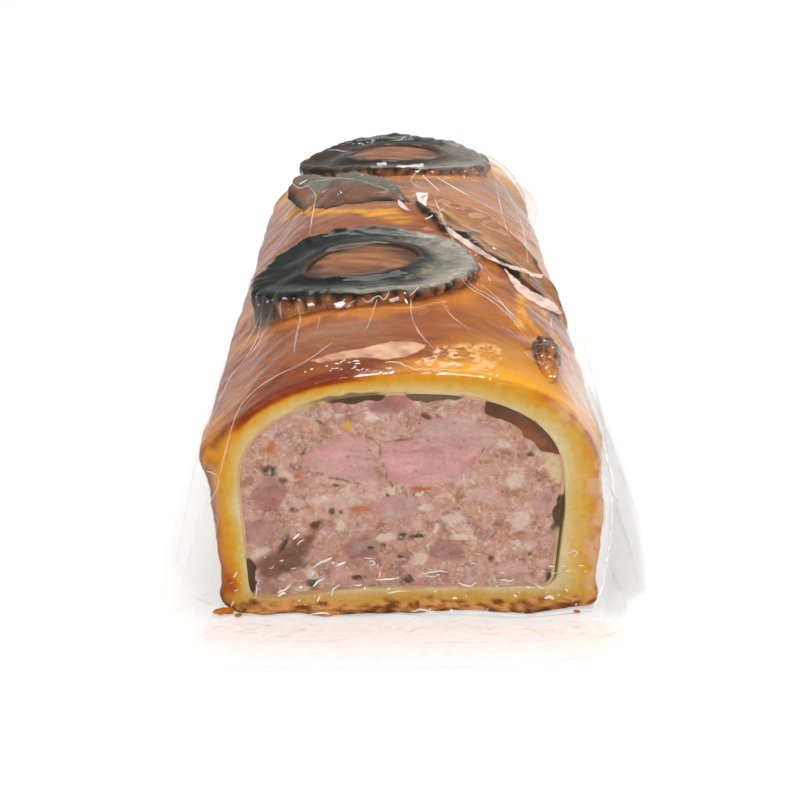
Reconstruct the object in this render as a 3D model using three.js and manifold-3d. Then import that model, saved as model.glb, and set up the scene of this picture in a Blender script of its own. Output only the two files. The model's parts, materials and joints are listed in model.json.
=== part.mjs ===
// Pate en croute: a block cut from a long loaf and vacuum packed in clear film.
// Millimetres, +Z up. The loaf runs along Y, with its shown cut face towards -Y.
// The origin is on the floor, under the middle of the pack.

import * as THREE from "three";
import { TessellateModifier } from "three/addons/modifiers/TessellateModifier.js";
import { mergeVertices } from "three/addons/utils/BufferGeometryUtils.js";
import Module from "manifold-3d";

const wasm = await Module();
wasm.setup();

// Driving dimensions of the baked loaf
const LENGTH = 256; // from one cut face to the other
const HALF_WIDTH = 52; // where the sides turn into the dome
const FOOT_HALF_WIDTH = 50; // the sides lean in towards the foot
const CROWN = 71.5; // floor to the top of the dome
const SPRING = 38; // floor to the start of the dome
const SQUARENESS = 2.4; // exponent of the dome's superellipse, 2 is an ellipse
const FOOT_RADIUS = 5;
const GAP = 0.3; // between two pieces that touch

const FRONT = -LENGTH / 2;

// Pastry wall, thicker on the right where the dough was joined
const WALL = { left: 6.5, right: 10, top: 6, foot: 6.5 };

// Where the lid's edge laps over the sides, as a ridge along each of them
const SEAM = {
  left: { reach: 6.2, height: 45, spread: 6.5 },
  right: { reach: 2, height: 50, spread: 6 },
  wave: 0.2,
  waveLength: 43,
};

// Swell of the dome along the loaf, and how the loaf falls and narrows towards its far end
const SWELL = { height: 0.6, along: 36, across: 41 };
const FAR_END = { droop: 1, from: 185, narrowLeft: 1.5, narrowRight: 4 };

// Set jelly between the meat and the pastry: a thin film, pooled at the right shoulder
const JELLY = {
  film: 0.9,
  pools: [
    { angle: 48, spread: 17, depth: 5.6 },
    { angle: 78, spread: 12, depth: 1.7 },
    { angle: 108, spread: 9, depth: 0.9 },
  ],
  side: 1.1,
};

// Fluted pastry rings round the two chimneys, each placed from the front cut
const RINGS = {
  front: { x: -13.9, fromFront: 87, rx: 35.3, ry: 33.2, leftDroop: 8.5, rightDroop: 1.5, holeShift: 4 },
  back: { x: -5, fromFront: 226, rx: 37.6, ry: 28.5, leftDroop: 5.5, rightDroop: 4.5, holeShift: 1 },
  rise: 3.6, // above the crown, at the middle
  thickness: 7.5,
  rim: 1.4, // rounded edge
  hole: 0.53, // share of the ring's own width
  flutes: 34,
  fluteDepth: 0.045,
  fluteSteps: 4,
  holeSteps: 36,
};

// Pastry leaves across the loaf, between the rings. s is measured round the dome from its crown.
const LEAVES = {
  left: { s: -23.5, fromFront: 173, length: 60, width: 33, heading: 145 },
  right: { s: 32, fromFront: 117, length: 92, width: 24, heading: -57 },
  thickness: 3.2,
  burial: 1,
  curl: 3.4, // how far the edges lift off the crust
  edgeSteps: 15,
  ripple: 0.08,
  ripples: 4,
  mesh: 7, // longest triangle edge
};

// Ridged curl of pastry on the right shoulder, behind the front cut
const CURL = { s: 41, fromFront: 25, halfWidth: 4.5, halfLength: 16, height: 6.5, ridges: 7, ridgeDepth: 0.13 };

// Free film of the sealed bag round the loaf
const FILM = {
  halfWidth: 74,
  endReach: 34, // past each cut face
  cornerRadius: 9,
  thickness: 1.2,
  tentFoot: 66,
  tentSag: 0.62, // 0.5 is a straight tent, more hangs in towards the loaf
  leftHold: { x: 55, z: 44 },
  rightHold: { x: 51.6, z: 45 },
  tentEndPull: 7,
  tentEndSpan: 30,
  filletHeight: 7,
  filletReach: 9,
};

const LOOKS = {
  crust: { color: 0xb4692a, roughness: 0.35 },
  filling: { color: 0xc19084, roughness: 0.5 },
  jelly: { color: 0x6b4433, roughness: 0.2 },
  ring: { color: 0x2c3130, roughness: 0.4 },
  leaf: { color: 0x4d372b, roughness: 0.4 },
  film: { color: 0xeef1f2, roughness: 0.08, transparent: true, opacity: 0.35 },
};

// Geometry helpers

function toSolid(geometry) {
  const bare = geometry.clone();
  bare.deleteAttribute("normal");
  bare.deleteAttribute("uv");
  const merged = mergeVertices(bare, 1e-4);
  return new wasm.Manifold(
    new wasm.Mesh({
      numProp: 3,
      vertProperties: new Float32Array(merged.getAttribute("position").array),
      triVerts: new Uint32Array(merged.index.array),
    }),
  );
}

function toMesh(solid, name, look) {
  const { vertProperties, triVerts } = solid.getMesh();
  const geometry = new THREE.BufferGeometry();
  geometry.setAttribute("position", new THREE.BufferAttribute(vertProperties, 3));
  geometry.setIndex(new THREE.BufferAttribute(triVerts, 1));
  geometry.computeVertexNormals();
  const mesh = new THREE.Mesh(geometry, new THREE.MeshStandardMaterial({ metalness: 0, ...look }));
  mesh.name = name;
  return mesh;
}

// Calls change on every vertex, as a vector that it moves in place.
function reshape(geometry, change) {
  const position = geometry.getAttribute("position");
  const point = new THREE.Vector3();
  for (let i = 0; i < position.count; i += 1) {
    change(point.fromBufferAttribute(position, i));
    position.setXYZ(i, point.x, point.y, point.z);
  }
  return geometry;
}

function smoothstep(low, high, value) {
  return THREE.MathUtils.smoothstep(value, low, high);
}

// A shape drawn in X and Z becomes a bar along Y, centred on the origin.
function barAlongLoaf(shape, length, steps) {
  const bar = new THREE.ExtrudeGeometry(shape, { depth: length, steps, bevelEnabled: false });
  return bar.rotateX(Math.PI / 2).translate(0, length / 2, 0);
}

// Sections of the loaf

function domePoint(angle, section) {
  const power = 2 / section.squareness;
  const across = Math.cos(angle);
  const reach = across > 0 ? section.right : section.left;
  const x = Math.sign(across) * reach * Math.abs(across) ** power;
  const rise = Math.max(Math.sin(angle), 0) ** power;
  return new THREE.Vector2(x, section.spring + (section.crown - section.spring) * rise);
}

// Points up the right foot and side, over the dome and down to the left foot.
function sectionPoints(section, { corner, side, dome }) {
  const { footLeft, footRight, foot, radius } = section;
  const points = [];
  for (let i = 0; i <= corner; i += 1) {
    const a = (Math.PI / 2) * (i / corner);
    points.push(new THREE.Vector2(footRight - radius * (1 - Math.sin(a)), foot + radius * (1 - Math.cos(a))));
  }
  const rightFoot = points.at(-1).clone();
  const rightSpring = domePoint(0, section);
  for (let i = 1; i < side; i += 1) points.push(rightFoot.clone().lerp(rightSpring, i / side));
  for (let i = 0; i <= dome; i += 1) points.push(domePoint(Math.PI * (i / dome), section));
  const leftSpring = domePoint(Math.PI, section);
  const leftFoot = new THREE.Vector2(-footLeft, foot + radius);
  for (let i = 1; i < side; i += 1) points.push(leftSpring.clone().lerp(leftFoot, i / side));
  for (let i = 0; i <= corner; i += 1) {
    const a = (Math.PI / 2) * (i / corner);
    points.push(new THREE.Vector2(-footLeft + radius * (1 - Math.cos(a)), foot + radius * (1 - Math.sin(a))));
  }
  return points;
}

function loafSection(grow) {
  return {
    left: HALF_WIDTH + grow,
    right: HALF_WIDTH + grow,
    footLeft: FOOT_HALF_WIDTH + grow,
    footRight: FOOT_HALF_WIDTH + grow,
    foot: grow > 0 ? -FOOT_RADIUS : 0, // a grown loaf only cuts others, so it passes the floor
    crown: CROWN + grow,
    spring: SPRING,
    squareness: SQUARENESS,
    radius: FOOT_RADIUS,
  };
}

function cavitySection(shrink) {
  return {
    left: HALF_WIDTH - WALL.left - shrink,
    right: HALF_WIDTH - WALL.right - shrink,
    footLeft: FOOT_HALF_WIDTH - WALL.left - shrink,
    footRight: FOOT_HALF_WIDTH - WALL.right - shrink,
    foot: WALL.foot + shrink,
    crown: CROWN - WALL.top - shrink,
    spring: SPRING,
    squareness: SQUARENESS,
    radius: FOOT_RADIUS,
  };
}

// Seam ridges and the swell of the dome. The floor stays flat.
function bakedRelief(point) {
  const seam = point.x < 0 ? SEAM.left : SEAM.right;
  const bump = Math.exp(-(((point.z - seam.height) / seam.spread) ** 2));
  const wave = 1 + SEAM.wave * Math.sin((2 * Math.PI * point.y) / SEAM.waveLength);
  const aside = smoothstep(0.6 * HALF_WIDTH, 0.9 * HALF_WIDTH, Math.abs(point.x));
  const swell = Math.sin(point.y / SWELL.along + 0.7) * Math.cos(point.x / SWELL.across);
  const drop = FAR_END.droop * smoothstep(FRONT + FAR_END.from, -FRONT, point.y);
  const narrow = point.x < 0 ? FAR_END.narrowLeft : FAR_END.narrowRight;
  point.z += (SWELL.height * swell - drop) * smoothstep(SPRING, CROWN, point.z);
  point.x += Math.sign(point.x) * seam.reach * bump * wave * aside;
  point.x *= 1 - (narrow / HALF_WIDTH) * (point.y / LENGTH + 0.5);
}

function loafSolid(grow) {
  const points = sectionPoints(loafSection(grow), { corner: 3, side: 8, dome: 38 });
  const bar = barAlongLoaf(new THREE.Shape(points), LENGTH + 2 * grow, 34);
  return toSolid(reshape(bar, bakedRelief));
}

const LOAF = loafSolid(0);
const LOAF_CUTTER = loafSolid(GAP);

// Round the dome

const DOME_STEPS = 240;
const DOME = Array.from({ length: DOME_STEPS + 1 }, (_, i) =>
  domePoint(Math.PI * (1 - i / DOME_STEPS), loafSection(0)),
);
const DOME_LENGTHS = DOME.reduce((sums, p, i) => {
  sums.push(i === 0 ? 0 : sums[i - 1] + p.distanceTo(DOME[i - 1]));
  return sums;
}, []);
const CROWN_LENGTH = DOME_LENGTHS[DOME_STEPS / 2];

// A flat drawing point (s round the dome, y along it, height off it) laid on the dome.
function layOnDome(point) {
  const want = CROWN_LENGTH + point.x;
  const found = DOME_LENGTHS.findIndex((sum) => sum > want);
  const next = found < 0 ? DOME_STEPS : Math.max(found, 1);
  const share = (want - DOME_LENGTHS[next - 1]) / (DOME_LENGTHS[next] - DOME_LENGTHS[next - 1]);
  const along = DOME[next].clone().sub(DOME[next - 1]);
  const foot = DOME[next - 1].clone().addScaledVector(along, share);
  const outward = new THREE.Vector2(-along.y, along.x).normalize();
  foot.addScaledVector(outward, point.z);
  point.set(foot.x, point.y, foot.y);
}

// The pieces

function crust() {
  const points = sectionPoints(cavitySection(0), { corner: 2, side: 2, dome: 30 });
  const cavity = barAlongLoaf(new THREE.Shape(points), LENGTH + 2, 1);
  return toMesh(LOAF.subtract(toSolid(cavity)), "crust", LOOKS.crust);
}

// Depth of the jelly at a point of the cavity's outline.
function jellyDepth(point) {
  const angle = THREE.MathUtils.radToDeg(Math.atan2(point.y - SPRING, point.x));
  if (point.y < SPRING) return JELLY.film + JELLY.side * (1 - point.y / SPRING);
  const pooled = JELLY.pools.map(
    (pool) => pool.depth * Math.exp(-(((angle - pool.angle) / pool.spread) ** 2)),
  );
  return JELLY.film + pooled.reduce((sum, depth) => sum + depth, 0);
}

// The cavity's outline moved in by a depth that may differ from point to point.
function movedIn(points, depthAt) {
  const middle = new THREE.Vector2(0, SPRING);
  return points.map((point) => {
    const inward = new THREE.Vector2(middle.x - point.x, Math.min(middle.y - point.y, 0)).normalize();
    return point.clone().addScaledVector(inward, depthAt(point));
  });
}

const LINING = { corner: 4, side: 4, dome: 40 };

function jellyStarts(point, section) {
  return point.y > section.foot + FOOT_RADIUS / 2;
}

function filling() {
  const section = cavitySection(GAP);
  const points = movedIn(sectionPoints(section, LINING), (point) =>
    jellyStarts(point, section) ? jellyDepth(point) + GAP : 0,
  );
  return toMesh(toSolid(barAlongLoaf(new THREE.Shape(points), LENGTH, 1)), "filling", LOOKS.filling);
}

function jelly() {
  const section = cavitySection(GAP);
  const onSides = sectionPoints(section, LINING).filter((point) => jellyStarts(point, section));
  const inside = movedIn(onSides, jellyDepth).reverse();
  const shape = new THREE.Shape([...onSides, ...inside]);
  return toMesh(toSolid(barAlongLoaf(shape, LENGTH, 1)), "jelly", LOOKS.jelly);
}

function flutedOutline({ rx, ry }) {
  const steps = RINGS.flutes * RINGS.fluteSteps;
  return Array.from({ length: steps }, (_, i) => {
    const a = (2 * Math.PI * i) / steps;
    const r = 1 - RINGS.fluteDepth * (0.5 - 0.5 * Math.cos(RINGS.flutes * a)) - RINGS.rim / rx;
    return new THREE.Vector2(r * rx * Math.cos(a), r * ry * Math.sin(a));
  });
}

// A ring is a slab let into the dome. It droops less than the dome does, so its ends stand off.
function ring(name, place) {
  const shape = new THREE.Shape(flutedOutline(place));
  const hole = new THREE.Path();
  const holeX = place.rx * RINGS.hole + RINGS.rim;
  const holeY = place.ry * RINGS.hole + RINGS.rim;
  hole.absellipse(0, place.holeShift, holeX, holeY, 0, 2 * Math.PI);
  shape.holes.push(new THREE.Path(hole.getPoints(RINGS.holeSteps).slice(0, -1)));
  const bar = new THREE.ExtrudeGeometry(shape, {
    depth: RINGS.thickness - 2 * RINGS.rim,
    bevelThickness: RINGS.rim,
    bevelSize: RINGS.rim,
    bevelSegments: 1,
  });
  bar.translate(0, 0, RINGS.rise - RINGS.thickness + RINGS.rim);
  reshape(bar, (point) => {
    const droop = point.x < 0 ? place.leftDroop : place.rightDroop;
    point.z += CROWN - droop * (point.x / place.rx) ** 2;
    point.x += place.x;
    point.y += FRONT + place.fromFront;
    point.z -= FAR_END.droop * smoothstep(FRONT + FAR_END.from, -FRONT, point.y);
  });
  return toMesh(toSolid(bar).subtract(LOAF_CUTTER), name, LOOKS.ring);
}

function leafOutline({ length, width }) {
  const { edgeSteps, ripple, ripples } = LEAVES;
  const edge = (side) =>
    Array.from({ length: edgeSteps }, (_, i) => {
      const u = (i + (side > 0 ? 0 : 1)) / edgeSteps;
      const half = (width / 2) * Math.sin(Math.PI * u) ** 0.8;
      const wavy = 1 + ripple * Math.sin(2 * Math.PI * ripples * u + side);
      return new THREE.Vector2(length * (u - 0.5), side * half * wavy);
    });
  return [...edge(-1).reverse(), ...edge(1)].reverse();
}

// A leaf is drawn flat, its edges are curled up, and it is then laid over the dome.
function leaf(name, place) {
  const flat = new THREE.ExtrudeGeometry(new THREE.Shape(leafOutline(place)), {
    depth: LEAVES.thickness + LEAVES.burial,
    bevelEnabled: false,
  });
  flat.translate(0, 0, -LEAVES.burial);
  const fine = new TessellateModifier(LEAVES.mesh, 12).modify(flat);
  reshape(fine, (point) => {
    point.z += LEAVES.curl * (point.y / (place.width / 2)) ** 2;
  });
  fine.rotateZ(THREE.MathUtils.degToRad(place.heading));
  fine.translate(place.s, FRONT + place.fromFront, 0);
  reshape(fine, layOnDome);
  reshape(fine, bakedRelief);
  return toMesh(toSolid(fine).subtract(LOAF_CUTTER), name, LOOKS.leaf);
}

function curl() {
  const lump = new THREE.SphereGeometry(1, 28, 10);
  lump.rotateX(Math.PI / 2);
  reshape(lump, (point) => {
    const around = Math.atan2(point.y, point.x);
    const ridge = 1 + CURL.ridgeDepth * Math.cos(CURL.ridges * around);
    point.set(point.x * CURL.halfWidth * ridge, point.y * CURL.halfLength * ridge, point.z * CURL.height);
    point.x += CURL.s;
    point.y += FRONT + CURL.fromFront;
  });
  reshape(lump, layOnDome);
  return toMesh(toSolid(lump).subtract(LOAF_CUTTER), "pastry_curl", LOOKS.leaf);
}

// The film

function flange() {
  const x = FILM.halfWidth;
  const y = LENGTH / 2 + FILM.endReach;
  const r = FILM.cornerRadius;
  const shape = new THREE.Shape();
  shape.absarc(x - r, y - r, r, 0, Math.PI / 2);
  shape.absarc(-x + r, y - r, r, Math.PI / 2, Math.PI);
  shape.absarc(-x + r, -y + r, r, Math.PI, 1.5 * Math.PI);
  shape.absarc(x - r, -y + r, r, 1.5 * Math.PI, 2 * Math.PI);
  return toSolid(
    new THREE.ExtrudeGeometry(shape, { depth: FILM.thickness, curveSegments: 5, bevelEnabled: false }),
  );
}

// The film hangs from the loaf's shoulder to the floor on each side, and is drawn in at its ends.
function tent(side, hold) {
  const bend = FILM.tentSag;
  const shape = new THREE.Shape();
  shape.moveTo(side * (HALF_WIDTH / 2), 0);
  shape.lineTo(side * (HALF_WIDTH / 2), hold.z);
  shape.lineTo(side * hold.x, hold.z);
  shape.quadraticCurveTo(
    side * THREE.MathUtils.lerp(FILM.tentFoot, hold.x, bend),
    THREE.MathUtils.lerp(hold.z, 0, bend),
    side * FILM.tentFoot,
    FILM.thickness,
  );
  shape.lineTo(side * FILM.tentFoot, 0);
  const bar = barAlongLoaf(new THREE.Shape(shape.getPoints(8)), LENGTH, 14);
  reshape(bar, (point) => {
    const pull = smoothstep(LENGTH / 2 - FILM.tentEndSpan, LENGTH / 2, Math.abs(point.y));
    const out = smoothstep(HALF_WIDTH, FILM.tentFoot, Math.abs(point.x));
    point.x -= Math.sign(point.x) * FILM.tentEndPull * pull * out;
  });
  return toSolid(bar);
}

// Where the film turns from a cut face to the floor.
function endFillet(side) {
  const wall = LENGTH / 2;
  const shape = new THREE.Shape();
  shape.moveTo(wall - FILM.filletReach, 0);
  shape.lineTo(wall + FILM.filletReach, 0);
  shape.quadraticCurveTo(wall + GAP, 0, wall + GAP, FILM.filletHeight);
  shape.lineTo(wall - FILM.filletReach, FILM.filletHeight);
  const width = 2 * (FOOT_HALF_WIDTH - FOOT_RADIUS);
  const bar = new THREE.ExtrudeGeometry(new THREE.Shape(shape.getPoints(6)), {
    depth: width,
    bevelEnabled: false,
  });
  bar.rotateX(Math.PI / 2).rotateZ(Math.PI / 2).translate(-width / 2, 0, 0);
  if (side < 0) bar.rotateZ(Math.PI);
  return toSolid(bar);
}

function film() {
  const skirt = flange()
    .add(tent(-1, FILM.leftHold))
    .add(tent(1, FILM.rightHold))
    .add(endFillet(-1))
    .add(endFillet(1))
    .subtract(LOAF_CUTTER);
  return toMesh(skirt, "film_skirt", LOOKS.film);
}

const pate = new THREE.Group();
pate.add(
  crust(),
  jelly(),
  filling(),
  ring("chimney_ring_front", RINGS.front),
  ring("chimney_ring_back", RINGS.back),
  leaf("leaf_left", LEAVES.left),
  leaf("leaf_right", LEAVES.right),
  curl(),
  film(),
);

export default pate;
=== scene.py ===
"""Looks of a vacuum-packed block of pate en croute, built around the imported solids. Lengths are in mm."""

import json
import math

import bpy
import numpy as np
from mathutils import Matrix, Vector
from mathutils.bvhtree import BVHTree

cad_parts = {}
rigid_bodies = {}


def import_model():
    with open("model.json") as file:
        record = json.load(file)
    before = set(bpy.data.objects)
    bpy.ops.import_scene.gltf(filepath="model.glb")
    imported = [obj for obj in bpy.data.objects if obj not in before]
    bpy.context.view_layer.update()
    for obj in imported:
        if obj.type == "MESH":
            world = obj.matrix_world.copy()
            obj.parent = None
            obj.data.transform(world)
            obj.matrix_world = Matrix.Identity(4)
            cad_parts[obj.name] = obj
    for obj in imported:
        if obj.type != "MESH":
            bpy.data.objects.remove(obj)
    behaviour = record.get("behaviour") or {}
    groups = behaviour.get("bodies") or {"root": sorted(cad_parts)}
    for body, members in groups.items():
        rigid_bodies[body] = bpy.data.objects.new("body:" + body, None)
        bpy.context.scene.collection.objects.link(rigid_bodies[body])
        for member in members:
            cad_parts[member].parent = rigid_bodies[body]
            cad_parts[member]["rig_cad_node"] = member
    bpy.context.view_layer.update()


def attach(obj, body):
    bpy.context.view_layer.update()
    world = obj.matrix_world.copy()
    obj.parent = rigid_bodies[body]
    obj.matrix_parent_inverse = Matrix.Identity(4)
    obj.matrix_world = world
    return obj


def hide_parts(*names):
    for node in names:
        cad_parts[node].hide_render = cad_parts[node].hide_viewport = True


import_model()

MM = 0.001
SEED = 11

# The loaf's section and length, as in the solids
LENGTH = 256.0
FRONT = -LENGTH / 2
BACK = LENGTH / 2
HALF_WIDTH = 52.0
FOOT_HALF_WIDTH = 50.0
CROWN = 71.5
SPRING = 38.0
SQUARENESS = 2.4
FOOT_RADIUS = 5.0
WALL = {"left": 6.5, "right": 10.0, "top": 6.0, "foot": 6.5}
CAVITY_CORNER = 4.0
LEFT_CAVITY_EASE = 0.8
# The lid's seam on each side: how far it stands out, its height and its spread
SEAM = {"left": (6.2, 45.0, 6.5), "right": (2.0, 50.0, 6.0)}
SEAM_WAVE = 0.2
SEAM_WAVE_LENGTH = 43.0
SWELL_HEIGHT = 0.6
SWELL_PHASE = 0.7
SWELL_ALONG = 36.0
SWELL_ACROSS = 41.0
FAR_DROOP = 1.0
FAR_DROOP_FROM = 185.0
FAR_NARROW = {"left": 1.5, "right": 4.0}

# The jelly's depth inside the cavity: a film all round, a pool at the right shoulder and thinner ones on top
JELLY_FILM = 0.35
JELLY_POOL = 4.4
JELLY_CROWN = 1.9
JELLY_LEFT_TOP = 1.4
JELLY_WEDGE = 1.7

# Rings on the dome: middle, half-widths, how far the top droops to each side, and the hole's shift and tilt
RINGS = {
    "chimney_ring_front": dict(
        x=-13.9, y=FRONT + 87, rx=35.3, ry=33.2, left=8.5, right=1.5, shift=-0.3, tilt=0.25),
    "chimney_ring_back": dict(
        x=-5.0, y=FRONT + 226, rx=37.6, ry=28.5, left=5.5, right=4.5, shift=1.0, tilt=0.0),
}
RING_RISE = 3.6
RING_HOLE = 0.49
# Leaves: middle (arc length from the crown, place along the loaf), size, heading in degrees, lift of both
# edges and the tip, bluntness of the ends, and how crumpled, veined, charred, tanned and crust-like they are
LEAVES = {
    "leaf_left": dict(
        s=-20.5, y=FRONT + 177, length=56.0, width=25.0, heading=142.0, lift=(1.15, 0.1), tip=6.0,
        ends=(1.5, 0.4), crumple=0.9, veins=0.3, char=1.0, tan=0.0, strip=0.0),
    "leaf_right": dict(
        s=30.2, y=FRONT + 119.8, length=98.6, width=24.0, heading=-57.0, lift=(0.4, 1.0), tip=0.0,
        ends=(0.8, 0.8), crumple=0.5, veins=0.1, char=0.0, tan=0.9, strip=1.0),
}
LEAF_BODY = 1.6
LEAF_RIM = 0.5
LEAF_SUNK = 0.6
LEAF_CURL = 3.2
CURL = dict(s=40.0, y=FRONT + 25.5, half_width=3.9, half_length=14.0, height=6.0, ridges=8)

# The film's free part
FILM_HALF_WIDTH = 74.0
FILM_END_REACH = 34.0
TENT_FOOT = 66.0
TENT_HOLD = 45.0
TENT_END_PULL = 7.0
TENT_END_SPAN = 30.0
FILLET = (9.0, 7.0)
SEAL_REACH = 17.0
FLOOR_MIRROR = 4.4
SIDE_MIRROR = 0.2
LEFT_DULL = 0.45
EAR = dict(y=FRONT + 228, z=50.0, half_length=14.0, half_height=9.0, reach=5.0)

# The photo's camera in this frame
IMAGE_SIZE = 800
CAMERA_AT = (0.50, -492.33, 221.34)
CAMERA_FOCAL_PIXELS = 1500.0
CAMERA_PITCH = 0.4084
CAMERA_YAW = -0.0072
CAMERA_ROLL = -0.013
SENSOR = 36.0


# Small helpers

def smoothstep(low, high, value):
    """A smooth rise from 0 at low to 1 at high; it falls instead where low is above high."""
    t = np.clip((value - low) / (high - low), 0.0, 1.0)
    return t * t * (3.0 - 2.0 * t)


def bell(value, centre, spread):
    """1 at the centre, falling off smoothly to both sides."""
    return np.exp(-(((value - centre) / spread) ** 2))


def srgb(red, green, blue):
    """Linear colour of an sRGB colour given in 0 to 255."""
    c = np.array([red, green, blue]) / 255.0
    return np.where(c <= 0.04045, c / 12.92, ((c + 0.055) / 1.055) ** 2.4)


def mix(a, b, factor):
    """Blends colours (or colour arrays) by a factor for each point."""
    f = np.clip(factor, 0.0, 1.0)[..., None]
    return a * (1.0 - f) + b * f


def lattice(ix, iy, iz, seed):
    """A fixed random number in -1 to 1 for each corner of the noise's cells."""
    n = ix * 73856093 ^ iy * 19349663 ^ iz * 83492791 ^ (seed * 40503 + 977)
    n = ((n ^ (n >> 13)) * 1274126177) & 0x7FFFFFFF
    n = ((n ^ (n >> 11)) * 668265263) & 0x7FFFFFFF
    return ((n >> 7) & 0xFFFF) / 32767.5 - 1.0


def noise(points, scale, seed=0):
    """Smooth value noise in -1 to 1; scale is the size of a cell, one number or one for each axis."""
    q = points / np.asarray(scale, float)
    base = np.floor(q).astype(np.int64)
    f = q - base
    f = f * f * (3.0 - 2.0 * f)
    total = np.zeros(q.shape[:-1])
    for dx in (0, 1):
        wx = f[..., 0] if dx else 1.0 - f[..., 0]
        for dy in (0, 1):
            wy = f[..., 1] if dy else 1.0 - f[..., 1]
            for dz in (0, 1):
                wz = f[..., 2] if dz else 1.0 - f[..., 2]
                corner = lattice(base[..., 0] + dx, base[..., 1] + dy, base[..., 2] + dz, seed)
                total += wx * wy * wz * corner
    return total


def fractal(points, scale, octaves, seed=0):
    """Noise with finer and weaker layers added."""
    scale = np.asarray(scale, float)
    total = np.zeros(points.shape[:-1])
    for octave in range(octaves):
        total += noise(points, scale / 2 ** octave, seed + 17 * octave) / 2 ** octave
    return total


def grid_faces(rows, columns, wrap_rows=False, wrap_columns=False):
    """Quads of a grid of points, with either direction closed on itself."""
    r = np.arange(rows if wrap_rows else rows - 1)
    c = np.arange(columns if wrap_columns else columns - 1)
    r0, c0 = np.meshgrid(r, c, indexing="ij")
    r1 = (r0 + 1) % rows
    c1 = (c0 + 1) % columns
    quads = np.stack([r0 * columns + c0, r0 * columns + c1, r1 * columns + c1, r1 * columns + c0], -1)
    return quads.reshape(-1, 4)


def tube_faces(rows, columns):
    """Faces of a tube of rows of points, closed by a cap at each end."""
    faces = grid_faces(rows, columns, wrap_columns=True).tolist()
    faces.append(list(range(columns - 1, -1, -1)))
    faces.append([(rows - 1) * columns + i for i in range(columns)])
    return faces


def join_parts(parts):
    """Points and faces of many parts, each a pair of points and faces, as one."""
    points, faces, start = [], [], 0
    for part_points, part_faces in parts:
        points.append(part_points.reshape(-1, 3))
        faces += [[v + start for v in face] for face in part_faces]
        start += len(points[-1])
    return np.concatenate(points), faces


def make_piece(name, points, faces, material, colours=None, nodes=(), extra=None):
    """A mesh piece on the loaf's body, from points in mm, with its colours as a point attribute."""
    mesh = bpy.data.meshes.new(name)
    faces = faces.tolist() if hasattr(faces, "tolist") else faces
    mesh.from_pydata((points.reshape(-1, 3) * MM).tolist(), [], faces)
    if colours is not None:
        flat = np.concatenate([colours.reshape(-1, 3), np.ones((colours.size // 3, 1))], 1)
        layer = mesh.attributes.new("Col", "FLOAT_COLOR", "POINT")
        layer.data.foreach_set("color", flat.astype(np.float32).ravel())
    for label, values in (extra or {}).items():
        layer = mesh.attributes.new(label, "FLOAT", "POINT")
        layer.data.foreach_set("value", values.astype(np.float32).ravel())
    mesh.polygons.foreach_set("use_smooth", [True] * len(mesh.polygons))
    mesh.materials.append(material)
    mesh.validate()
    mesh.update()
    piece = bpy.data.objects.new(name, mesh)
    bpy.context.scene.collection.objects.link(piece)
    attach(piece, "root")
    if nodes:
        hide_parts(*nodes)
    return piece


# Camera, light and floor

def camera_axes():
    """The camera's right, up and forward directions."""
    pitch, yaw, roll = CAMERA_PITCH, CAMERA_YAW, CAMERA_ROLL
    forward = np.array([math.sin(yaw) * math.cos(pitch), math.cos(yaw) * math.cos(pitch), -math.sin(pitch)])
    right = np.array([math.cos(yaw), -math.sin(yaw), 0.0])
    up = np.cross(right, forward)
    rolled_right = math.cos(roll) * right + math.sin(roll) * up
    rolled_up = -math.sin(roll) * right + math.cos(roll) * up
    return rolled_right, rolled_up, forward


def add_camera():
    """The photo's camera."""
    data = bpy.data.cameras.new("photo_camera")
    data.sensor_width = SENSOR
    data.lens = CAMERA_FOCAL_PIXELS * SENSOR / IMAGE_SIZE
    data.clip_start = 0.01
    right, up, forward = camera_axes()
    camera = bpy.data.objects.new("photo_camera", data)
    turn = Matrix((right, up, -forward)).transposed()
    camera.matrix_world = Matrix.Translation(Vector(CAMERA_AT) * MM) @ turn.to_4x4()
    bpy.context.scene.collection.objects.link(camera)
    bpy.context.scene.camera = camera


# Soft lamps: name, place, target and size in m, watts, and whether they show in mirroring film
LAMPS = (
    ("key", (0.1, 0.1, 1.1), (0.0, 0.0, 0.05), (0.9, 0.6), 8.0, False),
    ("front_fill", (-0.5, -1.1, 0.7), (0.0, -0.1, 0.03), (0.7, 0.5), 2.1, False),
    ("window", (0.05, 1.0, 0.95), (0.0, -0.05, 0.05), (0.55, 0.25), 1.6, True),
    ("glint_left", (-0.35, -0.55, 1.0), (0.0, -0.1, 0.03), (0.08, 0.08), 1.1, True),
    ("glint_right", (0.4, -0.75, 0.8), (0.0, -0.1, 0.03), (0.08, 0.08), 1.1, True),
)


def add_softbox(name, place, target, size, watts, mirrored):
    """A rectangular lamp that looks at its target."""
    data = bpy.data.lights.new(name, "AREA")
    data.shape = "RECTANGLE"
    data.size, data.size_y = size
    data.energy = watts
    lamp = bpy.data.objects.new(name, data)
    lamp.location = place
    lamp.rotation_euler = (Vector(target) - Vector(place)).to_track_quat("-Z", "Y").to_euler()
    lamp.visible_glossy = mirrored
    bpy.context.scene.collection.objects.link(lamp)


# Shader nodes

WHITE = (1, 1, 1, 1)


def plug(tree, node, sockets):
    """Sets a node's sockets, by name or number, to constants, or links them to outputs."""
    for label, value in sockets.items():
        if isinstance(value, bpy.types.NodeSocket):
            tree.links.new(value, node.inputs[label])
        else:
            node.inputs[label].default_value = value


def add_node(tree, kind, sockets=None, **settings):
    """A shader node with its settings and sockets."""
    node = tree.nodes.new("ShaderNode" + kind)
    for label, value in settings.items():
        setattr(node, label, value)
    plug(tree, node, sockets or {})
    return node


def add_math(tree, operation, *values):
    """The result of a sum on values or outputs."""
    return add_node(tree, "Math", dict(enumerate(values)), operation=operation).outputs[0]


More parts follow.
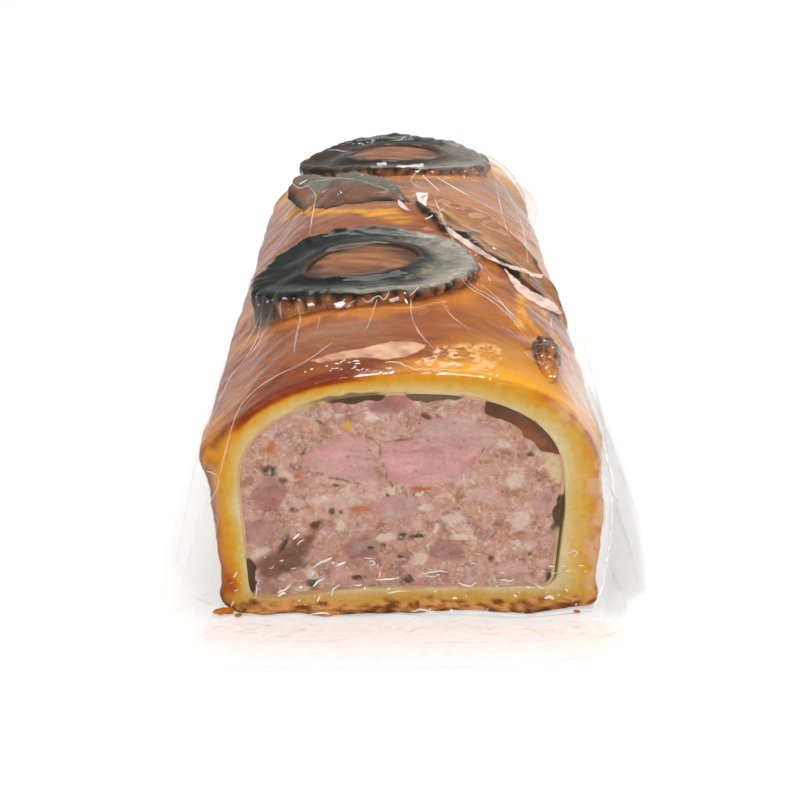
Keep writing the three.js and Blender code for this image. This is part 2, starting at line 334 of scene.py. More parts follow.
def map_range(tree, value, from_min, from_max, to_min, to_max):
    """An output that maps one range of a value, clamped, to another."""
    node = add_node(tree, "MapRange", {
        "Value": value, "From Min": from_min, "From Max": from_max, "To Min": to_min, "To Max": to_max})
    return node.outputs["Result"]


def point_mark(tree, name, output="Fac"):
    """What a point attribute says, as a number or a colour."""
    return add_node(tree, "Attribute", attribute_name=name).outputs[output]


def object_place(tree):
    """The place on the object, in m."""
    return add_node(tree, "TexCoord").outputs["Object"]


def mix_shaders(tree, share, first, second):
    """A blend of two shaders."""
    return add_node(tree, "MixShader", {0: share, 1: first.outputs[0], 2: second.outputs[0]})


def new_material(name):
    """A new material with its nodes and its shader."""
    material = bpy.data.materials.new(name)
    material.use_nodes = True
    return material, material.node_tree, material.node_tree.nodes["Principled BSDF"]


# The surroundings: brightness by height, as seen and in mirrored rays
WORLD_STRENGTH = 0.75
SKY_STOPS = ((0.0, 0.5), (0.9, 0.95))
MIRRORED_STOPS = ((0.0, 0.8), (0.15, 0.5), (0.3, 0.22), (0.7, 0.2), (1.0, 0.3))


def sky_ramp(tree, height, stops):
    """Grey levels by height."""
    ramp = add_node(tree, "ValToRGB", {0: height})
    elements = ramp.color_ramp.elements
    while len(elements) < len(stops):
        elements.new(0.5)
    for element, (position, grey) in zip(elements, stops):
        element.position = position
        element.color = (grey, grey, grey, 1)
    return ramp.outputs[0]


def add_world():
    """Soft white surroundings; in mirrored rays they are bright at the horizon and dim above."""
    world = bpy.data.worlds.new("studio")
    bpy.context.scene.world = world
    world.use_nodes = True
    tree = world.node_tree
    place = add_node(tree, "TexCoord").outputs["Generated"]
    height = add_node(tree, "SeparateXYZ", {0: place}).outputs["Z"]
    mirrored = add_node(tree, "LightPath").outputs["Is Glossy Ray"]
    choice = add_node(tree, "MixRGB", {
        0: mirrored, 1: sky_ramp(tree, height, SKY_STOPS), 2: sky_ramp(tree, height, MIRRORED_STOPS)})
    plug(tree, tree.nodes["Background"], {"Color": choice.outputs[0], "Strength": WORLD_STRENGTH})


# The floor's half-width and level in m and its grey
FLOOR_REACH = 4.0
FLOOR_LEVEL = -0.0002
FLOOR_GREY = (0.45, 0.45, 0.45, 1)
# How far away (m) the floor starts and ends to shine more, and how much it shines there
FLOOR_GLOW = (0.4, 1.6, 0.5, 0.64)


def add_floor():
    """A pale floor that stays as pale far away from the lamps."""
    signs = ((-1, -1), (1, -1), (1, 1), (-1, 1))
    mesh = bpy.data.meshes.new("floor")
    mesh.from_pydata([(x * FLOOR_REACH, y * FLOOR_REACH, FLOOR_LEVEL) for x, y in signs], [], [(0, 1, 2, 3)])
    material, tree, shader = new_material("pale_floor")
    away = add_node(tree, "VectorMath", {0: object_place(tree)}, operation="LENGTH").outputs["Value"]
    plug(tree, shader, {
        "Base Color": FLOOR_GREY, "Roughness": 0.9, "Specular IOR Level": 0.0,
        "Emission Color": WHITE, "Emission Strength": map_range(tree, away, *FLOOR_GLOW)})
    mesh.materials.append(material)
    floor = bpy.data.objects.new("floor", mesh)
    bpy.context.scene.collection.objects.link(floor)


# Materials of the food

# The grain's noise levels that are mapped to darkest and palest, and its height in mm
GRAIN_LEVELS = (0.3, 0.7)
GRAIN_HEIGHT = 0.3
GRAIN_DETAIL = 5.0
COAT_ROUGHNESS = 0.12
# Crumbs in the meat: size in mm, noise levels where they start and are full, colour and strength
MEAT_CRUMBS = (
    (4.5, 0.52, 0.7, srgb(216, 180, 168), 0.6), (3.2, 0.47, 0.3, srgb(168, 112, 92), 0.6),
    (1.4, 0.55, 0.7, srgb(224, 196, 182), 0.7), (0.9, 0.42, 0.28, srgb(136, 88, 70), 0.65),
    (2.0, 0.6, 0.74, srgb(206, 126, 80), 0.5), (0.6, 0.58, 0.72, srgb(236, 214, 200), 0.55),
)
CRUMB_NOISE = {"Detail": 4.0, "Roughness": 0.6, "Distortion": 0.6}


def food_material(name, roughness, grain, grain_size, bump, specular, coat=0.0):
    """Painted colour with fine grain in colour and bump; grain_size is in mm."""
    material, tree, shader = new_material(name)
    speckle = add_node(tree, "TexNoise", {
        "Vector": object_place(tree), "Scale": 1.0 / (grain_size * MM),
        "Detail": GRAIN_DETAIL}).outputs["Fac"]
    level = map_range(tree, speckle, *GRAIN_LEVELS, 1.0 - grain, 1.0 + grain)
    painted = point_mark(tree, "Col", "Color")
    tint = add_node(tree, "VectorMath", {0: painted, "Scale": level}, operation="SCALE")
    relief = add_node(tree, "Bump", {"Strength": bump, "Distance": GRAIN_HEIGHT * MM, "Height": speckle})
    plug(tree, shader, {
        "Base Color": tint.outputs["Vector"], "Normal": relief.outputs["Normal"], "Roughness": roughness,
        "Specular IOR Level": specular, "Coat Weight": coat, "Coat Roughness": COAT_ROUGHNESS})
    return material


def meat_material():
    """Cut meat: painted colour, broken up by fine crumbs of paler fat and redder lean where it is mottled."""
    material = food_material(
        "cooked_meat", roughness=0.42, grain=0.1, grain_size=0.8, bump=0.35, specular=0.12)
    tree = material.node_tree
    shader = tree.nodes["Principled BSDF"]
    place = object_place(tree)
    mottle = point_mark(tree, "Mottle")
    colour = shader.inputs["Base Color"].links[0].from_socket
    for size, low, high, shade, weight in MEAT_CRUMBS:
        crumbs = add_node(tree, "TexNoise", {"Vector": place, "Scale": 1.0 / (size * MM), **CRUMB_NOISE})
        level = map_range(tree, crumbs.outputs["Fac"], low, high, 0.0, weight)
        amount = add_math(tree, "MULTIPLY", level, mottle)
        colour = add_node(tree, "MixRGB", {0: amount, 1: colour, 2: (*shade, 1)}).outputs[0]
    plug(tree, shader, {"Base Color": colour})
    return material


# Materials of the film

# The film's mirror share seen straight on, what it gains at a grazing angle, how late, and its most
FILM_STRAIGHT = 0.006
FILM_GRAZING = 0.55
FILM_STEEPNESS = 4.5
FILM_MOST = 0.5
FILM_ROUGHNESS = 0.03
FILM_CLEAR = (0.985, 0.985, 0.98, 1)
FILM_MILK = (0.93, 0.9, 0.86, 1)
# The crumples' size and height in mm, and how much flatter than wide they are
CRUMPLE_SIZE = 4.5
CRUMPLE_HEIGHT = 1.2
CRUMPLE_SQUASH = (1.0, 1.0, 1.8)
LIT_GLOW = 0.15
LIT_ROUGHNESS = 0.4
FOLD_AND_SHADE_TINT = (0.56, 0.55, 0.53, 1)


def film_material():
    """Clear film: it lets light through, mirrors more at grazing angles, and is milky where the haze says; in
    places that milkiness is a painted sheen.
    """
    material, tree, shader = new_material("clear_film")
    tree.nodes.remove(shader)
    squash = add_node(tree, "Mapping", {"Vector": object_place(tree), "Scale": CRUMPLE_SQUASH})
    crumple = add_node(tree, "TexNoise", {
        "Vector": squash.outputs["Vector"], "Scale": 1.0 / (CRUMPLE_SIZE * MM),
        "Detail": 2.0, "Distortion": 0.8})
    relief = add_node(tree, "Bump", {
        "Height": crumple.outputs["Fac"], "Strength": point_mark(tree, "Crinkle"),
        "Distance": CRUMPLE_HEIGHT * MM})
    normal = relief.outputs["Normal"]
    facing = add_node(tree, "LayerWeight", {"Blend": 0.5, "Normal": normal}).outputs["Facing"]
    steep = add_math(tree, "POWER", facing, FILM_STEEPNESS)
    mirror = add_math(tree, "MULTIPLY_ADD", steep, FILM_GRAZING, FILM_STRAIGHT)
    stacked = add_math(tree, "MULTIPLY", mirror, point_mark(tree, "Layers"))
    clear = add_node(tree, "BsdfTransparent", {"Color": FILM_CLEAR})
    gloss = add_node(tree, "BsdfGlossy", {"Color": WHITE, "Roughness": FILM_ROUGHNESS, "Normal": normal})
    milky = add_node(tree, "BsdfDiffuse", {"Color": FILM_MILK})
    shine = mix_shaders(tree, add_math(tree, "MINIMUM", stacked, FILM_MOST), clear, gloss)
    veil = mix_shaders(tree, point_mark(tree, "Haze"), shine, milky)
    plug(tree, tree.nodes["Material Output"], {"Surface": veil.outputs[0]})
    return material


def lit_material():
    """Film where it catches the light: a pale sheet, as solid as its haze says."""
    material, tree, shader = new_material("lit_film")
    plug(tree, shader, {
        "Base Color": point_mark(tree, "Col", "Color"), "Alpha": point_mark(tree, "Haze"),
        "Roughness": LIT_ROUGHNESS, "Specular IOR Level": 0.0,
        "Emission Color": WHITE, "Emission Strength": LIT_GLOW})
    return material


def fold_and_shade_material():
    """Film that lets less light through where the shade says: where it is folded over itself, and as painted
    shade.
    """
    material, tree, shader = new_material("fold_and_shade_film")
    tree.nodes.remove(shader)
    clear = add_node(tree, "BsdfTransparent", {"Color": WHITE})
    dim = add_node(tree, "BsdfTransparent", {"Color": FOLD_AND_SHADE_TINT})
    blend = mix_shaders(tree, point_mark(tree, "Shade"), clear, dim)
    plug(tree, tree.nodes["Material Output"], {"Surface": blend.outputs[0]})
    return material


# The loaf's form

BOTTOM_STEPS = 40
CORNER_STEPS = 8
SIDE_STEPS = 40
DOME_STEPS = 62
# How much fuller the baked walls are, and how far the sole flares at the cuts
LEFT_SWELL = 2.8
RIGHT_SWELL = 1.9
CORNER_SWELL = 1.6
FLARE = 4.4
FLARE_REACH = 7.0
# How much thinner the sole is at the left
SOLE_DIP = 2.4


def half_outline(half, foot_half, foot_z, crown, radius):
    """Points (x, z) of the right half of a section, from the bottom's middle to the crown."""
    flat = foot_half - radius
    points = [(flat * i / BOTTOM_STEPS, foot_z) for i in range(BOTTOM_STEPS)]
    for i in range(CORNER_STEPS):
        a = math.pi / 2 * i / CORNER_STEPS
        points.append((flat + radius * math.sin(a), foot_z + radius * (1 - math.cos(a))))
    for i in range(SIDE_STEPS):
        t = i / SIDE_STEPS
        points.append((foot_half + (half - foot_half) * t, foot_z + radius + (SPRING - foot_z - radius) * t))
    for i in range(DOME_STEPS + 1):
        a = math.pi / 2 * i / DOME_STEPS
        across = half * math.cos(a) ** (2 / SQUARENESS) if i < DOME_STEPS else 0.0
        points.append((across, SPRING + (crown - SPRING) * math.sin(a) ** (2 / SQUARENESS)))
    return np.array(points)


def full_outline(halves, foot_halves, foot_z, crown, radius):
    """A whole section, anticlockwise from the bottom's middle, with its own left and right half-widths."""
    right = half_outline(halves[1], foot_halves[1], foot_z, crown, radius)
    left = half_outline(halves[0], foot_halves[0], foot_z, crown, radius)
    left = left[-2:0:-1] * np.array([-1.0, 1.0])
    return np.concatenate([right, left])


OUTER = full_outline((HALF_WIDTH, HALF_WIDTH), (FOOT_HALF_WIDTH, FOOT_HALF_WIDTH), 0.0, CROWN, FOOT_RADIUS)
CAVITY = full_outline(
    (HALF_WIDTH - WALL["left"] + LEFT_CAVITY_EASE, HALF_WIDTH - WALL["right"]),
    (FOOT_HALF_WIDTH - WALL["left"] + 2 * LEFT_CAVITY_EASE, FOOT_HALF_WIDTH - WALL["right"]),
    WALL["foot"], CROWN - WALL["top"], CAVITY_CORNER)
CAVITY[:, 1] -= SOLE_DIP * smoothstep(-8, -40, CAVITY[:, 0]) * smoothstep(SPRING, WALL["foot"], CAVITY[:, 1])
AROUND = len(OUTER)


def cut_distance(y):
    """Distance along the loaf to the nearer cut."""
    return np.minimum(y - FRONT, BACK - y)


def far_drop(y):
    """How much lower the crown is towards the far end."""
    return FAR_DROOP * smoothstep(FRONT + FAR_DROOP_FROM, BACK, y)


def far_narrowing(x, y):
    """The share of the width that is left, as the loaf narrows towards the far end."""
    narrow = np.where(x < 0, FAR_NARROW["left"], FAR_NARROW["right"])
    return 1.0 - narrow / HALF_WIDTH * (y / LENGTH + 0.5)


def dome_lift(x, y, z):
    """How far the dome's uneven rise and its droop move a point up."""
    swell = np.sin(y / SWELL_ALONG + SWELL_PHASE) * np.cos(x / SWELL_ACROSS)
    return (SWELL_HEIGHT * swell - far_drop(y)) * smoothstep(SPRING, CROWN, z)


def baked_relief(points):
    """The loaf's uneven bake: lips at the seams, a fuller left wall, a flared sole, a narrower far end."""
    x, y, z = points[..., 0], points[..., 1], points[..., 2]
    left = x < 0
    inset = cut_distance(y)
    reach = np.where(left, 0.55 * SEAM["left"][0], SEAM["right"][0])
    height = np.where(left, SEAM["left"][1], SEAM["right"][1])
    spread = np.where(left, SEAM["left"][2], SEAM["right"][2])
    bump = bell(z, height, spread * np.where(z < height, 1.0, 1.15))
    wave = 1.0 + 0.3 * SEAM_WAVE * np.sin(2 * np.pi * y / SEAM_WAVE_LENGTH)
    lip = reach * bump * wave * (0.06 + 0.94 * smoothstep(0.5, 8.0, inset))
    full = LEFT_SWELL * left * smoothstep(60, 46, z) * smoothstep(0.0, 3.5, inset)
    full = full + RIGHT_SWELL * (x > 0) * smoothstep(42, 28, z) + CORNER_SWELL * smoothstep(7.0, 2.0, z)
    aside = smoothstep(0.6 * HALF_WIDTH, 0.9 * HALF_WIDTH, np.abs(x))
    moved = x + np.sign(x) * (lip + full) * aside
    moved = moved * far_narrowing(x, y)
    flare = FLARE * smoothstep(FLARE_REACH, 0.0, z) * smoothstep(FLARE_REACH, 0.0, inset)
    flare = flare * (0.8 + 0.4 * noise(np.stack([x, 0 * y, z], -1), 8.0, SEED + 12))
    return np.stack([moved, y + np.sign(y) * flare, z + dome_lift(x, y, z)], -1)


def tapered(points):
    """Follows the loaf's narrower and lower far end."""
    x, y, z = points[..., 0], points[..., 1], points[..., 2]
    lifted = z - far_drop(y) * smoothstep(SPRING, CROWN, z)
    return np.stack([x * far_narrowing(x, y), y, lifted], -1)


def dome_z(x, y):
    """Height of the baked dome at a place."""
    inside = np.clip(1.0 - (np.abs(x) / HALF_WIDTH) ** SQUARENESS, 0.0, 1.0)
    z = SPRING + (CROWN - SPRING) * inside ** (1 / SQUARENESS)
    return z + dome_lift(x, y, z)


# The dome's section by arc length from the crown
DOME_ANGLES = np.linspace(0.0, math.pi / 2, 400)
DOME_X = HALF_WIDTH * np.cos(DOME_ANGLES) ** (2 / SQUARENESS)
DOME_Z = SPRING + (CROWN - SPRING) * np.sin(DOME_ANGLES) ** (2 / SQUARENESS)
DOME_STEP = np.hypot(np.diff(DOME_X), np.diff(DOME_Z))
DOME_ARC = np.concatenate([[0.0], np.cumsum(DOME_STEP[::-1])])
ARC_STEP = 0.5


def dome_at(s, y):
    """Point and outward normal on the dome at arc length s from the crown, to the right if positive."""
    arc = np.abs(s)

    def section(at):
        """Half-width and height of the section at an arc length."""
        return np.interp(at, DOME_ARC, DOME_X[::-1]), np.interp(at, DOME_ARC, DOME_Z[::-1])

    x, z = section(arc)
    x = np.sign(s) * x
    after, before = section(arc + ARC_STEP), section(arc - ARC_STEP)
    ahead_x = np.where(arc < ARC_STEP, 2 * ARC_STEP, after[0] - before[0])
    ahead_z = np.where(arc < ARC_STEP, 0.0, after[1] - before[1])
    size = np.hypot(ahead_x, ahead_z)
    normal = np.stack([-np.sign(s + 1e-9) * ahead_z / size, np.zeros_like(x), ahead_x / size], -1)
    lift = dome_lift(x, y, z)
    return np.stack([x * far_narrowing(x, y), y, z + lift], -1), normal


def ring_reach(spec, x, y):
    """1 on the ring's outer edge, less inside."""
    return np.hypot((x - spec["x"]) / spec["rx"], (y - spec["y"]) / spec["ry"])


def ring_level(spec, x, y):
    """Height of the ring's top, which droops to both sides."""
    u = (x - spec["x"]) / spec["rx"]
    droop = np.where(u < 0, spec["left"], spec["right"])
    return CROWN + RING_RISE - droop * u * u - far_drop(y)


def hole_reach(spec, x, y):
    """1 on the edge of the ring's hole, less inside."""
    across = x - spec["x"] - spec["shift"]
    along = y - spec["y"] - spec["tilt"] * across
    return np.hypot(across / (RING_HOLE * spec["rx"]), along / (RING_HOLE * spec["ry"]))


def segment_distance(x, z, a, b):
    """Distance to the line from a to b."""
    ax, az = a
    dx, dz = b[0] - ax, b[1] - az
    t = np.clip(((x - ax) * dx + (z - az) * dz) / (dx * dx + dz * dz), 0.0, 1.0)
    return np.hypot(x - ax - t * dx, z - az - t * dz)


# The crust

CREAM = srgb(217, 198, 154)
PALE_YELLOW = srgb(215, 175, 93)
GOLDEN = srgb(212, 154, 42)
AMBER = srgb(214, 132, 20)
ORANGE = srgb(178, 86, 14)
RED_BROWN = srgb(142, 56, 10)
BURNT = srgb(66, 26, 8)
CUT_STAIN = srgb(108, 82, 58)
SOLE_TAN = srgb(218, 150, 86)
SOLE_BROWN = srgb(104, 46, 16)
SOLE_GOLD = srgb(194, 142, 56)
EDGE_PEACH = srgb(220, 173, 124)
SOLE_TOP = 4.2
MOST_BAKED = 0.94
# Pastry by doneness, from raw to burnt
BAKE_STOPS = (
    (0.0, CREAM), (0.25, PALE_YELLOW), (0.5, GOLDEN), (0.66, AMBER), (0.8, ORANGE), (0.92, RED_BROWN),
    (1.0, BURNT),
)
# The bake of the cut pastry by angle round the section: at its outer edge, and how fast it fades inward
BAKE_ROUND = (
    (-90, 0.66, 0.9), (-50, 0.66, 0.9), (-30, 0.66, 0.75), (0, 0.62, 0.66), (29, 0.6, 0.66), (35, 0.82, 0.9),
    (41, 0.58, 0.66), (55, 0.58, 0.72), (75, 0.62, 0.8), (92, 0.68, 0.9), (110, 0.66, 0.8), (150, 0.64, 0.75),
    (165, 0.58, 0.7), (180, 0.56, 0.66), (203, 0.6, 0.75), (211, 0.82, 0.9), (220, 0.8, 0.9),
    (230, 0.66, 0.9), (270, 0.66, 0.9),
)


def bake_colour(doneness):
    """Pastry from raw cream to burnt."""
    stops = [stop for stop, _ in BAKE_STOPS]
    channels = [np.interp(doneness, stops, [colour[i] for _, colour in BAKE_STOPS]) for i in range(3)]
    return np.stack(channels, -1)


def crumb_colour(angle, depth, points):
    """Cut pastry: cream inside, baked outside; how far the bake reaches depends on the side."""
    angles = [row[0] for row in BAKE_ROUND]
    outer = np.interp(angle, angles, [row[1] for row in BAKE_ROUND])
    curve = np.interp(angle, angles, [row[2] for row in BAKE_ROUND])
    place = points * np.array([1.0, 0.0, 1.0])
    z = points[..., 2]
    cloud = fractal(place, 8.0, 3, SEED)
    rough = fractal(place, 3.0, 3, SEED + 15)
    inner = 0.05 + 0.06 * cloud
    fade = smoothstep(0.0, 1.0, 1.0 - depth + 0.08 * cloud) ** (1.2 * curve)
    doneness = inner + (outer - inner) * fade
    doneness = doneness + 0.05 * fractal(place, 1.8, 3, SEED + 5) * (1.0 - 0.6 * depth)
    # Darker edges at the left shoulder, the sole and the right side
    shoulder = smoothstep(100, 120, angle) * smoothstep(165, 156, angle)
    doneness = doneness + 0.33 * shoulder * smoothstep(0.48, 0.24, depth + 0.08 * cloud)
    sole = smoothstep(-34, -46, angle) + smoothstep(216, 226, angle)
    doneness = doneness + 0.3 * sole * smoothstep(0.5, 0.15, depth + 0.14 * rough)
    right_edge = smoothstep(38, 24, angle) * smoothstep(-60, -30, angle)
    doneness = doneness + 0.12 * right_edge * smoothstep(0.26, 0.08, depth + 0.1 * rough)
    colour = bake_colour(np.minimum(doneness, MOST_BAKED))
    # The crisp right edge is paler, with scorched flecks
    crisp = right_edge * smoothstep(0.42, 0.16, depth + 0.2 * rough)
    colour = mix(colour, EDGE_PEACH, 0.9 * crisp)
    scorched = smoothstep(0.0, 0.5, fractal(place, (2.2, 1.0, 4.0), 3, SEED + 18) + 0.3 * rough)
    colour = mix(colour, ORANGE, 0.38 * crisp * scorched)
    colour = mix(colour, RED_BROWN, 0.45 * crisp * scorched * smoothstep(0.16, 0.04, depth))
    # A stain where jelly soaked in at the left of the crown
    stain = smoothstep(101, 106, angle) * smoothstep(143, 126, angle)
    stain = stain * smoothstep(0.76, 0.86, depth + 0.05 * rough)
    colour = mix(colour, CUT_STAIN, 0.85 * stain)
    # The flaky, browned sole; the dark line at the very foot is burnt pastry and painted contact shadow
    flaky = mix(SOLE_TAN, SOLE_BROWN, 0.45 + 1.0 * fractal(place, (1.8, 1.0, 1.0), 4, SEED + 16))
    colour = mix(colour, SOLE_GOLD, 0.7 * smoothstep(SOLE_TOP + 2.4, SOLE_TOP, z))
    colour = mix(colour, flaky, 0.9 * smoothstep(SOLE_TOP, SOLE_TOP - 1.6, z + 0.9 * rough))
    return mix(colour, BURNT, 0.75 * smoothstep(1.5, 0.3, z + 0.7 * rough))


SKIN_BROWN = srgb(152, 80, 32)
SKIN_DARK = srgb(104, 46, 18)
SKIN_RED = srgb(114, 42, 9)
SKIN_GOLD = srgb(204, 124, 38)
SKIN_YELLOW = srgb(232, 162, 40)
SKIN_SIDE = srgb(168, 107, 58)
SKIN_PALE = srgb(210, 166, 110)
# Grey of the film's painted sheen on the skin
SKIN_SHEEN_GREY = srgb(166, 142, 124)
LIP_GOLD = srgb(214, 146, 48)
LIP_RED = srgb(134, 58, 18)
WELL_LIGHT = srgb(160, 104, 66)
WELL_DARK = srgb(84, 54, 38)
# Pale strips that the leaves kept from browning: points (s, y) from end to end, and half-width
PALE_STRIPS = (
    (((-50, 74), (-42, 58), (-30, 37)), 3.6), (((-15, 24), (-8, 20), (-2, 9)), 3.8),
    (((-30, 37), (-22, 29), (-15, 24)), 1.8),
    (((38, -48), (35.5, -62), (34, -80)), 1.7),
)

# Heights above this are on the dome
ON_TOP = SPRING + 10
LOBE_TAN = srgb(158, 110, 88)
LOBE_BROWN = srgb(128, 68, 42)
# Flat lobes of pastry by the near end of the right leaf: s, y, half-width, half-length, colour
LOBES = ((41.0, -67.0, 5.0, 12.0, LOBE_TAN), (50.5, -60.0, 6.0, 13.0, LOBE_BROWN))
LOBE_HEIGHT = 0.9


def lobe_reach(row, arc, y, wobble):
    """1 on a lobe's edge, less inside."""
    return np.hypot((arc - row[0]) / row[2], (y - row[1]) / row[3]) + wobble


def ring_marks(colour, points, flat):
    """Adds the golden crust round the rings, their shade, and the brown wells inside them."""
    x, y, z = points[..., 0], points[..., 1], points[..., 2]
    on_top = z > ON_TOP
    for spec in RINGS.values():
        reach = ring_reach(spec, x, y)
        hole = hole_reach(spec, x, y)
        skirt = smoothstep(1.34, 1.06, reach + 0.12 * noise(flat, 6.0, SEED + 3)) * on_top
        colour = mix(colour, SKIN_GOLD, 0.7 * skirt)
        shade = smoothstep(1.1, 1.01, reach) * on_top
        colour = mix(colour, SKIN_DARK, 0.5 * shade)
        well = smoothstep(0.66, 0.56, hole * RING_HOLE) * on_top
        swirl = fractal(np.stack([x + 0.3 * y, y + 0.2 * x, 9.0 * reach], -1), (14.0, 3.0, 4.0), 3, SEED + 4)
        # Darker towards the hole's edge: painted shade from the ring round the well
        well_colour = mix(WELL_LIGHT, WELL_DARK, 0.3 + 0.6 * swirl + 0.8 * smoothstep(0.6, 1.0, hole))
        well_colour = mix(well_colour, SKIN_GOLD, 0.3 * smoothstep(0.0, 0.7, -swirl))
        colour = mix(colour, well_colour, well)
    return colour


def leaf_marks(colour, arc, y, flat, streaks, patches):
    """Adds the pale strips by the leaves, and the flat lobes."""
    for line, half_width in PALE_STRIPS:
        wander = 1.6 * fractal(flat, 7.0, 3, SEED + 13)
        for a, b in zip(line[:-1], line[1:]):
            near = smoothstep(1.5, 0.4, segment_distance(arc + wander, y + wander, a, b) / half_width)
            colour = mix(colour, SKIN_YELLOW, (0.54 + 0.4 * streaks) * near)
    for lobe in LOBES:
        reach = lobe_reach(lobe, arc, y, 0.25 * patches)
        outward = arc - lobe[0]
        colour = mix(colour, lobe[4], (0.85 + 0.4 * streaks) * smoothstep(1.05, 0.85, reach))
        colour = mix(colour, SKIN_YELLOW, 0.5 * bell(reach, 1.05, 0.09) * smoothstep(6.0, -2.0, outward))
        colour = mix(colour, SKIN_DARK, 0.5 * bell(reach, 1.0, 0.1) * smoothstep(-2.0, 6.0, outward))
    return colour


def flank_colour(points, mottled):
    """The mottled flanks, darker at the foot."""
    x, z = points[..., 0], points[..., 2]
    runs = fractal(points, (60, 4.5, 34), 3, SEED + 19)
    spots = fractal(points, (30, 21, 15), 4, SEED + 25)
    colour = mix(SKIN_SIDE, SKIN_BROWN, 0.45 + 0.8 * mottled + 0.2 * runs)
    colour = mix(colour, SKIN_PALE, 0.2 * smoothstep(0, 20, x))
    colour = mix(colour, SKIN_DARK, 0.45 * smoothstep(-0.3, 1.1, spots + 0.2 * runs))
    colour = mix(colour, SKIN_GOLD, 0.55 * smoothstep(-0.2, 0.9, 0.2 * runs - spots))
    return mix(colour, SKIN_RED, 0.5 * smoothstep(16, 4, z + 5 * mottled))


def skin_colour(points, arc):
    """Glazed outside of the crust, by the arc length from the crown and the place along the loaf."""
    x, y, z = points[..., 0], points[..., 1], points[..., 2]
    along = cut_distance(y)
    flat = np.stack([arc, y, np.zeros_like(y)], -1)
    streaks = fractal(flat, (30.0, 2.6, 1.0), 4, SEED + 1)
    patches = fractal(flat, (26.0, 20.0, 1.0), 3, SEED + 2)
    specks = fractal(flat, (3.2, 1.8, 1.0), 3, SEED + 17)
    colour = mix(SKIN_BROWN, SKIN_DARK, 0.24 + 0.28 * streaks + 0.3 * patches + 0.45 * specks)
    colour = mix(colour, SKIN_GOLD, 0.7 * smoothstep(-0.05, 0.9, patches + 0.2 * streaks + 0.012 * arc))
    # Greyer towards the far end: a painted sheen of the film seen at grazing angles
    colour = mix(colour, SKIN_SHEEN_GREY, (0.5 + 0.3 * streaks) * smoothstep(FRONT + 100, BACK - 20, y))
    # Near the cuts: browner right of the crown, greyer left of it with a painted sheen of the film, then
    # golden and dark red rims
    browned = bell(arc, 17.0, 12.0) * bell(along, 42.0, 12.0)
    colour = mix(colour, SKIN_BROWN, 0.85 * browned)
    sheen_greyed = bell(arc, -18.0, 16.0) * bell(along, 36.0, 14.0)
    colour = mix(colour, SKIN_SHEEN_GREY, (0.3 + 0.2 * streaks) * sheen_greyed)
    right_front = smoothstep(4, 24, arc) * smoothstep(44, 8, along + 8 * patches) * (1.0 - 0.6 * browned)
    colour = mix(colour, SKIN_YELLOW, 0.65 * right_front)
    rim_gold = smoothstep(13, 3, along + 3 * patches) * smoothstep(-14, 8, arc)
    colour = mix(colour, SKIN_YELLOW, 0.8 * rim_gold)
    rim_dark = smoothstep(22, 5, along + 4 * patches) * smoothstep(4, -18, arc + 6 * specks)
    colour = mix(colour, SKIN_RED, 0.95 * rim_dark)
    colour = ring_marks(colour, points, flat)
    colour = leaf_marks(colour, arc, y, flat, streaks, patches)
    mottled = fractal(points, (20, 14, 9), 3, SEED + 6)
    colour = mix(colour, flank_colour(points, mottled), smoothstep(SPRING + 8, SPRING - 8, z))
    # The left seam's lip by the cuts, its red tip, and the sole
    on_left = x < -0.5 * HALF_WIDTH
    lip = bell(z, SEAM["left"][1] + 2, 9.0) * on_left
    lip_colour = mix(LIP_GOLD, LIP_RED, 0.1 + 0.7 * mottled + 0.7 * specks)
    colour = mix(colour, lip_colour, 0.9 * lip * smoothstep(40, 6, along))
    tip = bell(z, SEAM["left"][1] - 3, 6.5) * on_left
    colour = mix(colour, LIP_RED, 0.95 * tip * smoothstep(2.6, 5.0, along + 1.5 * specks))
    sole_colour = mix(RED_BROWN, BURNT, 0.5 + 0.8 * fractal(points, (6, 6, 3), 2, SEED + 14))
    return mix(colour, sole_colour, 0.8 * smoothstep(6, 0.5, z))


FACE_ROWS = 16
EDGE_ROWS = 5
SKIN_ROWS = 196
INNER_ROWS = 3
EDGE_ROUND_TOP = 2.2
EDGE_ROUND_FOOT = 1.2
WELL_DEPTH = 1.0
LOWEST = 0.3


def crust_rows():
    """Loops of the shell's skin: out over the cut, along the outside, in over the far cut and back inside.

    Also for each loop, how deep in the wall its points are, from 0 to 1, and whether it is on a cut.
    """
    wall = np.hypot(*(CAVITY - OUTER).T)
    top = smoothstep(SPRING, CROWN - 8, OUTER[:, 1])
    rounding = EDGE_ROUND_FOOT + (EDGE_ROUND_TOP - EDGE_ROUND_FOOT) * top
    rows, shares, on_face = [], [], []

    def add_row(depth, inset, at_back, face):
        """One loop: depth in mm into the wall and inset from the cut."""
        share = np.clip(depth / wall, 0.0, 1.0)
        xz = OUTER + (CAVITY - OUTER) * share[:, None]
        y = BACK - inset if at_back else FRONT + inset
        rows.append(np.stack([xz[:, 0], np.broadcast_to(y, xz[:, 0].shape), xz[:, 1]], -1))
        shares.append(share)
        on_face.append(face)

    def add_end(at_back):
        """The loops of a cut and its rounded edge."""
        loops = [(rounding + (wall - rounding) * (1.0 - i / FACE_ROWS), 0.0 * wall) for i in range(FACE_ROWS)]
        for i in range(EDGE_ROWS + 1):
            a = math.pi / 2 * i / EDGE_ROWS
            loops.append((rounding * (1 - math.sin(a)), rounding * (1 - math.cos(a))))
        for depth, inset in loops[::-1] if at_back else loops:
            add_row(depth, inset, at_back, True)

    add_end(False)
    for i in range(1, SKIN_ROWS):
        add_row(0.0 * wall, rounding + (LENGTH - 2 * rounding) * (i / SKIN_ROWS), False, False)
    add_end(True)
    for i in range(1, INNER_ROWS):
        add_row(wall, LENGTH * (1 - i / INNER_ROWS), False, False)
    return np.array(rows), np.array(shares), np.array(on_face)[:, None]


